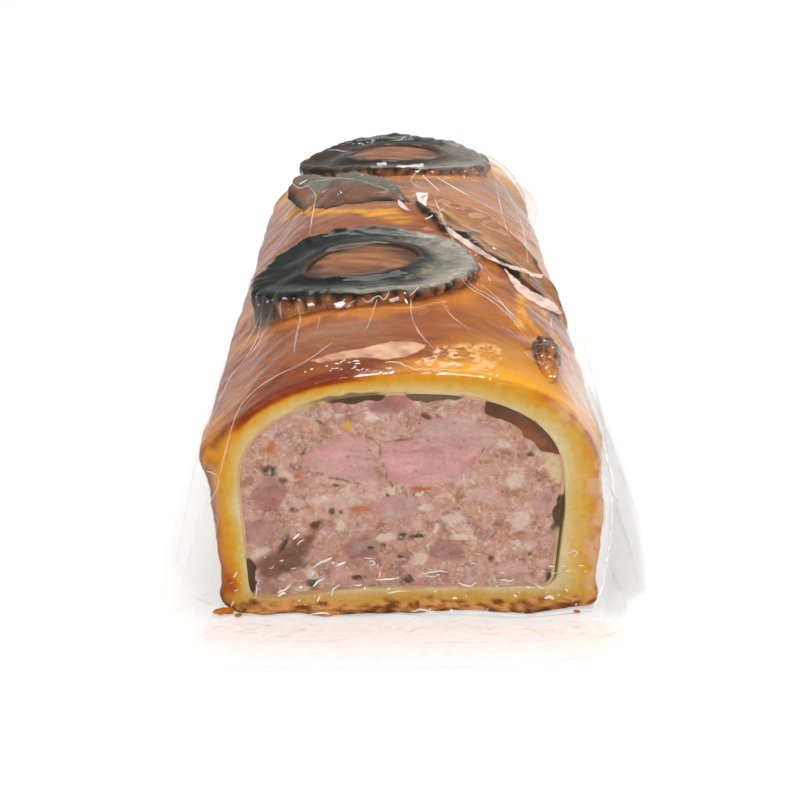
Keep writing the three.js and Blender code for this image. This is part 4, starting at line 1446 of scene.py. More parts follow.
def build_ring(name, spec, material, seed):
    """A charred pastry ring: a dished top between a bead and a lip, and an outer wall of uneven drips."""
    points, out, down, bead = ring_shape(spec, seed)
    burn = fractal(points, (11, 11, 11), 3, SEED + 66 + seed)
    fine = fractal(points, (1.8, 1.8, 4.0), 3, SEED + 67)
    to_right = (points[..., 0] - spec["x"]) / spec["rx"]
    to_front = np.broadcast_to(np.sin(np.linspace(0.0, 2 * np.pi, RING_AROUND, endpoint=False)), out.shape)
    colour = mix(CHAR, CHAR_BLUE, 0.5 + 0.6 * burn + 0.5 * fine)
    colour = mix(colour, CHAR_WARM, (seed - 1) * (0.75 + 0.6 * burn))
    # Grey on the right and on the lip, a painted sheen and highlight of the film; black round the hole and
    # brown inside it
    grey = smoothstep(0.05, 0.95, 0.4 * burn + 0.25 * fine + to_right - 0.05)
    grey = grey + 0.35 * bell(out, 0.88, 0.1) * smoothstep(-0.5, 0.3, to_right + 0.5 * fine)
    colour = mix(colour, CHAR_SHEEN_GREY, (1.0 - 0.32 * seed) * grey * smoothstep(0.05, 0.4, out))
    front_lip_highlight = smoothstep(0.1, -0.6, to_front) * bell(out, 0.85, 0.22) * (down < 0.01)
    colour = mix(colour, CHAR_SHEEN_GREY, 0.75 * front_lip_highlight * smoothstep(-0.55, 0.1, to_right + 0.4 * fine))
    colour = mix(colour, CHAR, 0.8 * bell(out, 0.22, 0.16) * smoothstep(0.6, -0.2, to_right))
    colour = mix(colour, CHAR_BROWN, 0.75 * smoothstep(0.12, 0.0, out) * (out < 0.5))
    # The outer wall's drips, golden at the foot; each bead is lighter at its middle, with painted shade in
    # the gaps between beads
    drip_colour = mix(DRIP_DARK, DRIP_BROWN, 0.5 * fine + 1.1 * (bead - 0.35) + 0.7 * (down - 0.35))
    foot_gold = smoothstep(0.62, 0.98, down + 0.25 * fine) * smoothstep(-0.95, -0.3, to_right)
    drip_colour = mix(drip_colour, SKIN_GOLD, 0.85 * foot_gold)
    colour = mix(colour, drip_colour, (out > 0.99) * smoothstep(0.05, 0.35, down))
    faces = grid_faces(len(points), RING_AROUND, wrap_rows=True, wrap_columns=True)
    make_piece(name + "_pastry", points, faces, material, colour, [name])


LEAF_BROWN = srgb(124, 80, 54)
LEAF_DARK = srgb(46, 42, 37)
LEAF_GREY = srgb(134, 116, 100)
LEAF_TAN = srgb(216, 160, 98)
LEAF_RUST = srgb(92, 42, 22)
LEAF_SKIN = srgb(150, 92, 54)
LEAF_SCORCHED = srgb(74, 42, 27)
LEAF_PURPLE = srgb(112, 74, 58)
LEAF_OLIVE = srgb(52, 54, 46)
LEAF_ASH = srgb(122, 124, 110)

LEAF_LONG = 130
LEAF_WIDE = 41


def leaf_colour(spec, u, v, place, rib, veins):
    """The leaf's colours by the place along it (0 to 1) and across it (-1 to 1)."""
    char, tan, skin = spec["char"], spec["tan"], spec["strip"]
    edge = np.maximum(np.abs(v) + 0 * u, 1.0 - np.minimum(u, 1 - u) * 14)
    clouds = fractal(place, 7.0, 3, SEED + 71)
    rim_colour = mix(LEAF_DARK, LEAF_OLIVE, 0.5 + 0.9 * noise(place, 4.0, SEED + 75))
    far_rim = char * smoothstep(-0.12, -0.5, v + 0.25 * clouds)
    rim_colour = mix(rim_colour, LEAF_ASH, 0.75 * far_rim)
    colour = mix(LEAF_BROWN, LEAF_PURPLE, char * (0.6 + 0.6 * clouds))
    inside = smoothstep(1.0, 0.8, edge + 0.12 * clouds)
    colour = mix(colour, LEAF_TAN, tan * inside * (0.75 + 0.6 * clouds))
    ashy = smoothstep(0.0, 0.8, fractal(place, 9.0, 3, SEED + 72))
    colour = mix(colour, LEAF_GREY, (0.5 - 0.3 * tan) * ashy)
    # A leaf like the crust, with a rust-red strip along it and a scorched near side
    strip = bell(v + 0.12 * clouds, -0.52, 0.2) * smoothstep(0.08, 0.2, u) * smoothstep(0.98, 0.85, u)
    colour = mix(colour, LEAF_SKIN, 0.75 * skin * smoothstep(-0.25, 0.2, v + 0.25 * clouds))
    colour = mix(colour, LEAF_RUST, 0.9 * skin * strip)
    near_side = 0.8 * skin * smoothstep(0.62, 0.85, v + 0.2 * clouds)
    colour = mix(colour, LEAF_SCORCHED, near_side * smoothstep(0.4, 0.6, u))
    burnt = smoothstep(0.88 - 0.5 * char, 1.0 - 0.2 * char, edge + 0.25 * clouds)
    soft_side = 0.75 * char * smoothstep(0.0, 0.4, v) * smoothstep(0.16, 0.34, u) * smoothstep(0.92, 0.8, u)
    colour = mix(colour, rim_colour, np.maximum(burnt * (1.0 - soft_side), 0.8 * far_rim))
    return mix(colour, LEAF_DARK, spec["veins"] * (0.4 * rib + 0.25 * veins))


def sheet_faces(rows, columns):
    """Faces of a thin sheet: two grids of points, the second under the first, joined round the edge."""
    count = rows * columns
    upper = grid_faces(rows, columns)
    loop = [i * columns for i in range(rows)]
    loop += [(rows - 1) * columns + j for j in range(1, columns)]
    loop += [i * columns + columns - 1 for i in range(rows - 2, -1, -1)]
    loop += list(range(columns - 2, 0, -1))
    loop = np.array(loop)
    after = np.roll(loop, -1)
    rim = np.stack([loop, after, after + count, loop + count], -1)
    return np.concatenate([upper, upper[:, ::-1] + count, rim])


def build_leaf(name, spec, material, seed):
    """A pastry leaf with a midrib, side veins and dark, ruffled, lifted edges."""
    u = np.linspace(0.004, 0.996, LEAF_LONG)[:, None]
    v = np.linspace(-1.0, 1.0, LEAF_WIDE)[None, :]
    heading = math.radians(spec["heading"])
    ruffle = 1.0 + 0.08 * np.sin(2 * np.pi * 4 * u + np.sign(v))
    ruffle = ruffle + 0.05 * np.sin(2 * np.pi * 11 * u + 2 * seed)
    taper = np.sin(np.pi * u) ** np.where(u < 0.5, spec["ends"][0], spec["ends"][1])
    along = (u - 0.5) * spec["length"] + 0 * v
    across = v * (spec["width"] / 2 * taper * ruffle)
    s = spec["s"] + along * math.cos(heading) - across * math.sin(heading)
    y = spec["y"] + along * math.sin(heading) + across * math.cos(heading)
    base, normal = dome_at(s, y)
    place = np.stack([along, across, np.full(s.shape, 30.0 * seed)], -1)
    veins = bell(np.mod(along * 0.16 - np.abs(across) * 0.13, 1.0), 0.5, 0.16)
    veins = veins * smoothstep(0.05, 0.3, np.abs(v))
    rib = bell(across, 0.0, 0.9)
    by_side = np.stack([along, np.sign(v) * 9 + 0 * along, 0 * along + seed], -1)
    crest = 0.75 + 0.25 * noise(by_side, 14.0, SEED + 73)
    side_lift = np.where(v < 0, spec["lift"][0], spec["lift"][1])
    lift = LEAF_CURL * side_lift * bell(np.abs(v), 0.8, 0.32) * crest * np.sqrt(taper)
    relief = 0.4 * fractal(place, 6.0, 3, SEED + 70) + spec["veins"] * (0.4 * veins - 0.5 * rib)
    relief = relief + spec["crumple"] * (0.4 + noise(place, 9.0, SEED + 74))
    lying = smoothstep(0.0, 0.35, taper) * (1.0 - 0.9 * spec["char"] * smoothstep(0.2, 1.0, v))
    flap = smoothstep(0.82, 1.0, u) - 0.25 * bell(u, 0.78, 0.05)
    height = 0.3 + (LEAF_BODY + relief) * lying + lift + spec["tip"] * flap
    top = base + normal * height[..., None]
    rim = np.sqrt(np.clip(1.0 - np.abs(v) ** 8, 0.0, 1.0))
    rim = rim * np.sqrt(np.clip(4 * u * (1 - u), 0.0, 1.0)) ** 0.5
    under = base + normal * ((height - LEAF_RIM) * (1.0 - rim) - LEAF_SUNK * rim)[..., None]
    colour = leaf_colour(spec, u, v, place, rib, veins)
    points = np.concatenate([top.reshape(-1, 3), under.reshape(-1, 3)])
    # The underside, and with it the edge walls, is painted darker as shade
    colours = np.concatenate([colour.reshape(-1, 3), (colour * 0.75).reshape(-1, 3)])
    faces = sheet_faces(LEAF_LONG, LEAF_WIDE)
    make_piece(name + "_pastry", points, faces, material, colours, [name])


CURL_GOLD = srgb(186, 110, 48)
CURL_DARK = srgb(84, 46, 24)
CURL_LONG = 90
CURL_AROUND = 60


def build_curl(material):
    """A ridged curl of pastry on the right shoulder."""
    t = np.linspace(0.0, 1.0, CURL_LONG)[:, None]
    a = np.linspace(0.0, 2 * np.pi, CURL_AROUND, endpoint=False)[None, :]
    body = np.sqrt(np.clip(1.0 - (2 * t - 1) ** 4, 0.0, 1.0))
    body = body * (0.5 + 0.5 * smoothstep(0.0, 0.75, t)) + 0.02
    place = np.stack([t * 30 + 0 * a, np.cos(a) * 5 + 0 * t, np.sin(a) * 5 + 0 * t], -1)
    pleat = np.sin(CURL["ridges"] * a + 1.2 * np.sin(3 * t) + 0.8 * noise(place, 8.0, SEED + 82))
    rings = np.sin(2 * np.pi * CURL["ridges"] * t + 0.8 * np.sin(a))
    ridges = 1.0 + 0.06 * pleat + 0.05 * rings
    rough = 1.0 + 0.1 * fractal(place, 3.0, 3, SEED + 80)
    across = CURL["half_width"] * body * ridges * rough * np.cos(a)
    height = CURL["height"] * (0.5 + 0.5 * np.sin(a)) * body * ridges * rough - 1.0
    y = CURL["y"] + (2 * t - 1) * CURL["half_length"] + 0 * a
    base, normal = dome_at(CURL["s"] + across, y)
    points = base + normal * height[..., None]
    # Painted shade in the grooves between the ridges
    groove_shade = smoothstep(0.5, -0.9, pleat + 0.6 * rings)
    far = smoothstep(0.3, 0.8, t + 0.2 * fractal(place, 5.0, 2, SEED + 81))
    fleck = fractal(place, 2.0, 2, SEED + 83)
    colour = mix(CURL_GOLD, CURL_DARK, 0.2 + 0.6 * groove_shade + 0.85 * far + 0.3 * fleck)
    colour = mix(colour, SKIN_YELLOW, 0.6 * smoothstep(0.34, 0.02, t + 0.1 * pleat))
    faces = tube_faces(CURL_LONG, CURL_AROUND)
    make_piece("pastry_curl_ridged", points, faces, material, colour, ["pastry_curl"])


# The film

FLANGE_LEVELS = 10
TENT_LEVELS = 34
DOME_LEVELS = 46
FILM_LEVELS = FLANGE_LEVELS + TENT_LEVELS + DOME_LEVELS
FILM_LONG = 300
FILM_FACE = 150
FILM_CLEARANCE = 0.3
FILM_BASE = 0.35
# Rays to the food start this far outside the film and end this far inside it
RAY_START = 25.0
RAY_PAST = 8.0
# Up to this share of the tent the film is held; above, it starts this deep and is sucked on in many rounds
PINNED_SHARE = 0.88
DEEPEST_START = 4.0
SUCTION = 0.07
TAUT_ROUNDS = 260
SMOOTH_ROUNDS = 3
FILM_LOWEST = 0.15


def film_level(k):
    """One level of the film: x of the left and right, y of the front, and z."""
    if k <= FLANGE_LEVELS:
        f = k / FLANGE_LEVELS
        across = FILM_HALF_WIDTH + (TENT_FOOT - FILM_HALF_WIDTH) * f
        reach = FILM_END_REACH + (FILLET[0] - FILM_END_REACH) * f
        return -across, across, FRONT - reach - 0.4, FILM_BASE
    if k <= FLANGE_LEVELS + TENT_LEVELS:
        q = (k - FLANGE_LEVELS) / TENT_LEVELS
        z = FILM_BASE + (TENT_HOLD - FILM_BASE) * q
        spread = (TENT_FOOT - HALF_WIDTH) * (1 - q) ** 1.6
        reach = FILLET[0] * max(0.0, 1 - z / FILLET[1]) ** 2
        return -HALF_WIDTH - spread, HALF_WIDTH + spread, FRONT - reach - 0.4, z
    first = math.asin(((TENT_HOLD - SPRING) / (CROWN - SPRING)) ** (SQUARENESS / 2))
    a = first + (math.pi / 2 - first) * (k - FLANGE_LEVELS - TENT_LEVELS) / DOME_LEVELS
    across = HALF_WIDTH * max(0.0, math.cos(a)) ** (2 / SQUARENESS)
    z = SPRING + (CROWN - SPRING) * math.sin(a) ** (2 / SQUARENESS)
    if k == FILM_LEVELS:
        across = 0.0
    return -across, across, FRONT - 0.4, z


def film_grid():
    """Rest points of the film, its faces, and for each point its level and whether it is on an end face."""
    levels = [film_level(k) for k in range(FILM_LEVELS + 1)]
    over_rows = 2 * FILM_LEVELS + 1
    lengthwise = np.linspace(-1.0, 1.0, FILM_LONG + 1)
    points, level = [], []
    for u in range(over_rows):
        k = u if u <= FILM_LEVELS else 2 * FILM_LEVELS - u
        left, right, front, z = levels[k]
        x = left if u <= FILM_LEVELS else right
        y = -front * lengthwise
        q = max(0.0, min(1.0, (k - FLANGE_LEVELS) / TENT_LEVELS))
        pull = TENT_END_PULL * (1 - smoothstep(0.0, TENT_END_SPAN, -front - np.abs(y))) * (1 - q)
        pull = pull * min(1.0, k / FLANGE_LEVELS)
        points.append(np.stack([x - np.sign(x) * pull, y, np.full(y.shape, z)], -1))
        level.append(np.full(y.shape, k))
    over = np.array(points).reshape(-1, 3)
    ids = np.arange(len(over)).reshape(over_rows, FILM_LONG + 1)
    faces = grid_faces(over_rows, FILM_LONG + 1)[:, ::-1].tolist()
    all_points, all_levels, on_end = [over], [np.array(level).ravel()], [np.zeros(len(over))]
    start = len(over)
    share = np.linspace(0.0, 1.0, FILM_FACE + 1)[1:-1, None]
    for end in (0, FILM_LONG):
        face_ids = np.zeros((FILM_LEVELS + 1, FILM_FACE + 1), int)
        face_ids[FILM_LEVELS, :] = ids[FILM_LEVELS, end]
        for k in range(FILM_LEVELS):
            a, b = ids[k, end], ids[2 * FILM_LEVELS - k, end]
            face_ids[k] = [a, *range(start, start + FILM_FACE - 1), b]
            all_points.append(over[a] * (1 - share) + over[b] * share)
            all_levels.append(np.full(FILM_FACE - 1, k))
            on_end.append(np.ones(FILM_FACE - 1))
            start += FILM_FACE - 1
        for k in range(FILM_LEVELS):
            for i in range(FILM_FACE):
                quad = [face_ids[k, i], face_ids[k, i + 1], face_ids[k + 1, i + 1], face_ids[k + 1, i]]
                if end:
                    quad.reverse()
                faces.append([int(v) for v in dict.fromkeys(quad)])
    return np.concatenate(all_points), faces, np.concatenate(all_levels), np.concatenate(on_end)


def normals_and_edges(points, faces):
    """The normals of a mesh's points, and its edges as pairs of points."""
    mesh = bpy.data.meshes.new("film_probe")
    mesh.from_pydata(points.tolist(), [], faces)
    mesh.update()
    normals = np.zeros(len(points) * 3)
    mesh.vertex_normals.foreach_get("vector", normals)
    edges = np.zeros(len(mesh.edges) * 2, int)
    mesh.edges.foreach_get("vertices", edges)
    bpy.data.meshes.remove(mesh)
    return normals.reshape(-1, 3), edges.reshape(-1, 2)


def neighbour_mean(values, edges, degree):
    """The mean of each point's neighbours, of which it has as many as its degree."""
    first, second = edges.T
    count = len(values)
    total = np.bincount(first, values[second], count) + np.bincount(second, values[first], count)
    return total / degree


def food_tree(pieces):
    """One search tree over all the food, in mm."""
    parts = []
    for piece in pieces:
        mesh = piece.data
        points = np.zeros(len(mesh.vertices) * 3)
        mesh.vertices.foreach_get("co", points)
        parts.append((points / MM, [polygon.vertices for polygon in mesh.polygons]))
    points, faces = join_parts(parts)
    return BVHTree.FromPolygons(points.tolist(), faces)


def film_obstacle(rest, normals, level, food):
    """How far out the food pushes each point of the film, from rays cast inwards."""
    tree = food_tree(food)
    obstacle = np.full(len(rest), -1e3)
    for i in np.nonzero(level > FLANGE_LEVELS // 2)[0]:
        start = Vector(rest[i] + normals[i] * RAY_START)
        hit, _, _, distance = tree.ray_cast(start, Vector(-normals[i]), RAY_START + RAY_PAST)
        if hit is not None:
            obstacle[i] = RAY_START - distance + FILM_CLEARANCE
    return obstacle


def build_film(material, food):
    """The film as a taut skin: it bridges hollows in the food, is sucked on, and tents off at the sides.

    Gives a search tree over it.
    """
    rest, faces, level, on_end = film_grid()
    normals, edges = normals_and_edges(rest, faces)
    degree = np.bincount(edges.ravel(), minlength=len(rest))
    obstacle = film_obstacle(rest, normals, level, food)
    pinned = level < FLANGE_LEVELS + TENT_LEVELS * PINNED_SHARE
    pinned &= on_end < 0.5
    pinned |= level <= FLANGE_LEVELS + 3
    held = np.maximum(0.0, obstacle)
    height = np.where(pinned, held, np.maximum(obstacle, -DEEPEST_START))
    for _ in range(TAUT_ROUNDS):
        smooth = neighbour_mean(height, edges, degree) - SUCTION
        height = np.where(pinned, held, np.maximum(smooth, obstacle))
    for _ in range(SMOOTH_ROUNDS):
        height = np.maximum(neighbour_mean(height, edges, degree), obstacle)
    points = rest + normals * height[:, None]
    points += normals * film_wrinkles(points, level, on_end)[:, None]
    points[:, 2] = np.maximum(points[:, 2], FILM_LOWEST)
    marks = {
        "Haze": film_haze(points, level, on_end),
        "Layers": film_layers(points, level, on_end),
        "Crinkle": film_crinkle(points, level, on_end),
    }
    make_piece("vacuum_film", points, faces, material, None, ["film_skirt"], marks)
    return BVHTree.FromPolygons(points.tolist(), faces)


def film_wrinkles(points, level, on_end):
    """Outward creases: fine at the foot of the cuts, long in the side tents, low on the floor."""
    x, y, z = points[:, 0], points[:, 1], points[:, 2]
    low = smoothstep(17, 5, z) * on_end
    folds = 0.45 * low * ridged(points, (6.0, 40.0, 3.6), SEED + 90, 3.0)
    tent = smoothstep(42, 26, z) * (level > 3) * (on_end < 0.5)
    slant = np.stack([y + 0.8 * z, z * 0.3, np.sign(x) * 30], -1)
    folds += 1.2 * tent * ridged(slant, (24.0, 26.0, 1.0), SEED + 91, 3.5)
    folds += (level <= FLANGE_LEVELS) * 0.4 * ridged(points, (40, 9, 9), SEED + 92, 4.0)
    tight = (on_end < 0.5) * (level >= FLANGE_LEVELS + TENT_LEVELS)
    folds += 0.14 * tight * ridged(slanting(points), (5.0, 40.0, 20.0), SEED + 94, 3.0)
    ear = bell(y, EAR["y"], EAR["half_length"]) * bell(z, EAR["z"], EAR["half_height"])
    folds += EAR["reach"] * ear * (x > 0) * (on_end < 0.5)
    return folds


def film_layers(points, level, on_end):
    """How often the film mirrors: more on the floor between the cuts and the seal, where both sheets meet."""
    beyond = np.abs(points[:, 1]) - BACK
    inner = smoothstep(SEAL_REACH + 0.5, SEAL_REACH - 0.5, beyond) * smoothstep(0.0, 3.0, beyond)
    inner = inner * smoothstep(FOOT_HALF_WIDTH + 9, FOOT_HALF_WIDTH + 4, np.abs(points[:, 0]))
    on_floor = level <= FLANGE_LEVELS + 1
    rim = (on_end < 0.5) & (np.abs(beyond - 0.4) < 0.7) & (points[:, 2] > 6.0)
    slope = 1.0 - LEFT_DULL * smoothstep(-12.0, -40.0, points[:, 0]) * (on_end < 0.5)
    return np.where(on_floor, SIDE_MIRROR + FLOOR_MIRROR * inner, np.where(rim, SIDE_MIRROR, slope))


def ridged(points, scale, seed, sharpness):
    """Thin ridges where the noise crosses zero."""
    return np.clip(1.0 - np.abs(noise(points, scale, seed)) * sharpness, 0.0, 1.0)


# Milkiness of the film: clear, free at the sides, far off, tight on the food and in wisps; far off, in the
# wisps and on the right shoulder it is a painted sheen
CLEAR_HAZE = 0.004
TENT_HAZE = 0.08
FAR_HAZE = 0.07
TIGHT_HAZE = 0.006
WISP_HAZE = 0.09
LEFT_WISPS = 0.6
RIGHT_SHOULDER_SHEEN = 0.3
WRINKLE_SLANT = 0.9


def film_haze(points, level, on_end):
    """A faint milkiness, more in the free film, far off, in slanting wisps and on the near right shoulder; in
    the last three it is a painted sheen.
    """
    x, y, z = points[:, 0], points[:, 1], points[:, 2]
    free = (level > FLANGE_LEVELS) * (level < FLANGE_LEVELS + TENT_LEVELS) * (on_end < 0.5)
    tight = (on_end < 0.5) * (level >= FLANGE_LEVELS + TENT_LEVELS) * 1.0
    far = smoothstep(FRONT + 110, BACK - 30, y) * tight
    far = far * smoothstep(-30.0, 20.0, x) * smoothstep(75.0, 69.0, z)
    for spec in RINGS.values():
        tight = tight * (0.25 + 0.75 * smoothstep(0.95, 1.05, ring_reach(spec, x, y)))
    tight = tight * smoothstep(6.0, 26.0, cut_distance(y))
    wisps = np.clip(fractal(slanting(points), (3.0, 34.0, 20.0), 3, SEED + 93), 0.0, 1.0)
    wisps = wisps * smoothstep(10.0, 42.0, np.abs(x) + 12.0 * smoothstep(0.0, BACK, y))
    wisps = wisps * np.where(x < 0, LEFT_WISPS, 1.0)
    shoulder = smoothstep(40.0, 48.0, x) * smoothstep(FRONT + 75, FRONT + 35, y)
    shoulder = shoulder * (on_end < 0.5) * smoothstep(24.0, 44.0, z)
    milky = TENT_HAZE * free + FAR_HAZE * far + RIGHT_SHOULDER_SHEEN * shoulder
    return CLEAR_HAZE + milky + tight * (TIGHT_HAZE + WISP_HAZE * wisps)


def slanting(points):
    """Coordinates along which the tight film's wrinkles run: outward from the crown and towards the front."""
    x, y, z = points[:, 0], points[:, 1], points[:, 2]
    return np.stack([y + WRINKLE_SLANT * np.abs(x), np.abs(x) - z, 50.0 * np.sign(x)], -1)


def film_crinkle(points, level, on_end):
    """How crumpled the film is: most at the foot of the cuts and where it is free."""
    z = points[:, 2]
    foot = smoothstep(20, 6, z) * on_end
    free = (level < FLANGE_LEVELS + TENT_LEVELS * 0.9) * (on_end < 0.5)
    return 0.06 + 0.9 * foot + 0.5 * free


# Creases whose highlights are painted as pale lines, and glints on the film, as polylines in the photo's
# pixels
CREASE_PIXELS = (
    ((259, 303), (262, 321), (256, 343), (241, 365), (229, 379), (222, 395), (210, 420), (202, 445)),
    ((333, 342), (315, 356), (290, 369), (267, 381), (251, 394), (240, 406), (231, 429), (224, 456),
     (219, 478)),
    ((219, 478), (218, 487), (211, 501), (206, 511)),
    ((206, 471), (212, 472), (218, 476)),
    ((300, 319), (296, 338), (294, 353)),
    ((329, 345), (312, 358), (290, 371)),
    ((377, 299), (372, 316), (365, 333)),
    ((411, 299), (411, 319), (421, 336), (435, 350)),
    ((460, 275), (467, 287), (489, 299), (508, 314), (525, 336), (532, 343)),
    ((463, 275), (471, 286), (492, 297), (511, 311), (528, 334)),
    ((433, 193), (443, 222), (452, 239), (462, 250)),
    ((494, 173), (501, 212), (510, 239)),
    ((501, 181), (523, 222), (528, 263)),
    ((433, 161), (411, 176), (411, 185), (435, 193)),
    ((307, 185), (317, 195), (314, 207), (309, 236)),
    ((307, 183), (346, 176), (389, 190)),
    ((554, 314), (549, 326), (559, 338)),
    ((560, 340), (569, 358), (578, 385), (590, 417), (601, 440)),
    ((561, 372), (571, 394), (580, 415)),
    ((601, 440), (604, 451), (613, 481), (611, 501), (610, 545), (604, 581), (596, 606)),
    ((615, 505), (628, 540), (640, 585)),
    ((197, 520), (192, 545), (185, 565)),
    ((604, 581), (612, 574), (622, 592), (626, 606)),
    ((281, 300), (280, 310), (282, 319)), ((298, 304), (300, 316), (301, 324)),
    ((362, 298), (368, 304), (378, 294), (384, 302), (390, 290)), ((336, 310), (350, 304), (356, 300)),
    ((320, 316), (317, 330)), ((410, 296), (420, 286)), ((525, 195), (537, 217), (530, 235)),
    ((287, 175), (297, 190), (310, 185)), ((262, 312), (250, 338), (236, 356)),
    ((270, 322), (254, 352), (238, 372)),
    ((440, 300), (452, 318), (470, 330)), ((478, 282), (500, 300), (516, 322)),
)
GLINT_PIXELS = (
    (((384, 362), (396, 362), (407, 367), (412, 369)), 0.2),
    (((410, 369), (426, 370), (449, 371), (461, 370)), 0.16),
    (((461, 369), (476, 372), (490, 374)), 0.16), (((292, 540), (300, 534)), 0.3),
    (((297, 545), (304, 539)), 0.25),
    (((312, 568), (322, 562), (331, 557)), 0.42), (((336, 566), (346, 562)), 0.3),
    (((369, 563), (371, 560), (375, 561), (375, 565), (370, 565)), 0.25),
    (((256, 597), (256, 588), (259, 580)), 0.3),
    (((278, 593), (284, 590), (291, 584)), 0.32), (((278, 596), (282, 593), (286, 594)), 0.45),
    (((313, 586), (317, 582), (324, 579)), 0.32), (((332, 596), (333, 588), (340, 585)), 0.28),
    (((376, 580), (386, 579), (398, 578)), 0.3), (((388, 594), (400, 591), (412, 592)), 0.3),
    (((421, 574), (436, 571), (449, 573)), 0.32), (((424, 576), (440, 575)), 0.2),
    (((458, 582), (466, 586), (477, 583)), 0.3),
    (((500, 579), (508, 581), (516, 579)), 0.34), (((532, 584), (538, 586), (544, 590)), 0.34),
    (((568, 553), (573, 550), (579, 553), (574, 556)), 0.3), (((545, 599), (549, 596), (554, 599)), 0.6),
    (((310, 614), (320, 613), (330, 614)), 0.4), (((410, 611), (424, 610), (436, 612)), 0.35),
    (((600, 438), (604, 451), (613, 480)), 0.45), (((614, 478), (612, 501), (610, 545), (604, 581)), 0.5),
    (((604, 581), (598, 598), (594, 610)), 0.4),
)
# Short level glints at the front edge of the dome: pixel column, row and length
EDGE_GLINTS = (
    (337, 364, 4), (341, 362, 3), (345, 361, 2), (349, 362, 3), (356, 361, 7), (357, 364, 6), (355, 367, 3),
    (337, 369, 4), (341, 370, 3), (353, 369, 6), (358, 370, 5), (363, 369, 3), (368, 370, 3), (387, 368, 3),
    (391, 368, 3), (380, 372, 3), (386, 373, 5), (392, 372, 5), (333, 369, 2), (331, 371, 2), (327, 366, 2),
    (471, 369, 2), (477, 369, 2), (486, 370, 2), (491, 374, 3), (497, 376, 2), (305, 372, 2), (312, 370, 3),
    (544, 341, 2), (553, 348, 1.6), (541, 355, 2), (550, 357, 1.6), (546, 368, 1.6), (550, 376, 2.4),
    (554, 377, 1.6),
)
EDGE_GLINT_HALF_WIDTH = 0.34
# Strokes of light on the crumpled film at the foot of a cut: how many, how high they reach, length and
# half-width
FOOT_GLINTS = 70
FOOT_GLINT_TOP = 16.0
FOOT_GLINT_LENGTH = (0.8, 3.4)
FOOT_GLINT_HALF_WIDTH = (0.11, 0.32)
FOOT_GLINT_BEYOND = 7.0
FOOT_GLINT_BEND = 0.5
RING_GLINTS = 46
RING_GLINT_LENGTH = (0.5, 2.2)
RING_GLINT_HALF_WIDTH = (0.14, 0.4)
SLOPE_STREAKS = 90
SLOPE_STREAK_HALF_WIDTH = (0.1, 0.26)
SLOPE_STREAK_HAZE = (0.06, 0.3)
# How far streaks keep off the rings, and how far behind the front cut lines still repeat at the far cut
RING_CLEAR = 1.05
REPEATED_DEPTH = 30.0
STROKE_HEIGHT = 0.15
STREAK_HEIGHT = 0.12
CREASE_HEIGHT = 0.2
# A ridge's outline as places across it and heights, and how strong a crease's painted highlight is at each
RIDGE_PROFILE = ((-1.0, -0.1), (-0.6, 0.75), (0.0, 1.0), (0.6, 0.75), (1.0, -0.1))
CREASE_PROFILE = (0.0, 0.75, 1.0, 0.75, 0.0)
CREASE_HALF_WIDTH = 0.34
CREASE_HAZE = 0.45
GLINT_HAZE = 1.0
CREASE_TINT = srgb(242, 236, 228)
GLINT_TINT = srgb(255, 255, 255)

# Sheens on the film: colour, how soft the edge is, and whether bubbles break it up
WHITE_SHEEN = (srgb(255, 252, 248), 1.0, False)
PEACH_SHEEN = (srgb(252, 200, 156), 3.0, True)
PALE_PEACH_SHEEN = (srgb(248, 198, 158), 1.6, False)
PINK_SHEEN = (srgb(250, 216, 200), 1.0, False)
GOLD_SHEEN = (srgb(244, 192, 120), 3.0, True)
# Where they lie, as outlines in pixels, with their strength
SHEENS = (
    (((311, 361), (333, 354), (353, 350), (378, 345), (391, 342), (408, 342), (426, 345), (424, 349),
      (416, 353), (405, 358), (385, 360), (360, 358), (340, 360), (320, 363)), 0.45, PALE_PEACH_SHEEN),
    (((436, 349), (448, 347), (459, 352), (458, 360), (462, 366), (446, 368), (430, 368), (414, 366),
      (416, 361), (426, 356), (434, 352)), 0.95, PEACH_SHEEN),
    (((430, 346), (452, 345), (478, 344), (500, 346), (502, 360), (492, 370), (474, 371),
      (462, 362)), 0.7, GOLD_SHEEN),
    (((446, 225), (452, 229), (462, 237), (476, 246), (490, 255), (500, 262), (524, 269), (541, 277),
      (528, 275), (508, 268), (494, 262), (478, 254), (462, 244), (450, 235)), 0.62, PINK_SHEEN),
    (((503, 267), (516, 279), (530, 291), (546, 298), (557, 306), (563, 315), (555, 314), (541, 307),
      (526, 299), (513, 286)), 0.66, PINK_SHEEN),
    (((520, 268), (534, 273), (544, 275), (541, 278), (530, 277)), 0.7, PINK_SHEEN),
    (((397, 199), (404, 204), (410, 211), (404, 210), (399, 205)), 0.75, PINK_SHEEN),
    (((416, 193), (428, 193), (426, 206), (418, 202)), 0.75, WHITE_SHEEN),
    (((307, 304), (312, 303), (315, 305), (309, 307)), 0.8, WHITE_SHEEN),
    (((334, 304), (341, 301), (346, 303), (341, 308), (336, 308)), 0.8, WHITE_SHEEN),
    (((389, 300), (399, 296), (398, 300), (391, 302)), 0.6, WHITE_SHEEN),
    (((377, 164), (386, 163), (386, 166), (378, 167)), 0.6, WHITE_SHEEN),
    (((396, 166), (404, 165), (423, 164), (424, 168), (404, 168)), 0.6, WHITE_SHEEN),
)
# Painted shade where the free film looks grey, at the right tent and its foot: outlines in pixels and
# strength
SHADES = (
    (((586, 385), (597, 400), (626, 478), (640, 540), (646, 590), (628, 600), (606, 575), (608, 500),
      (600, 440)),
     0.32, WHITE_SHEEN),
    (((604, 581), (613, 574), (626, 606), (622, 616), (606, 612)), 0.22, WHITE_SHEEN),
)
SHADE_EDGE = 5.0
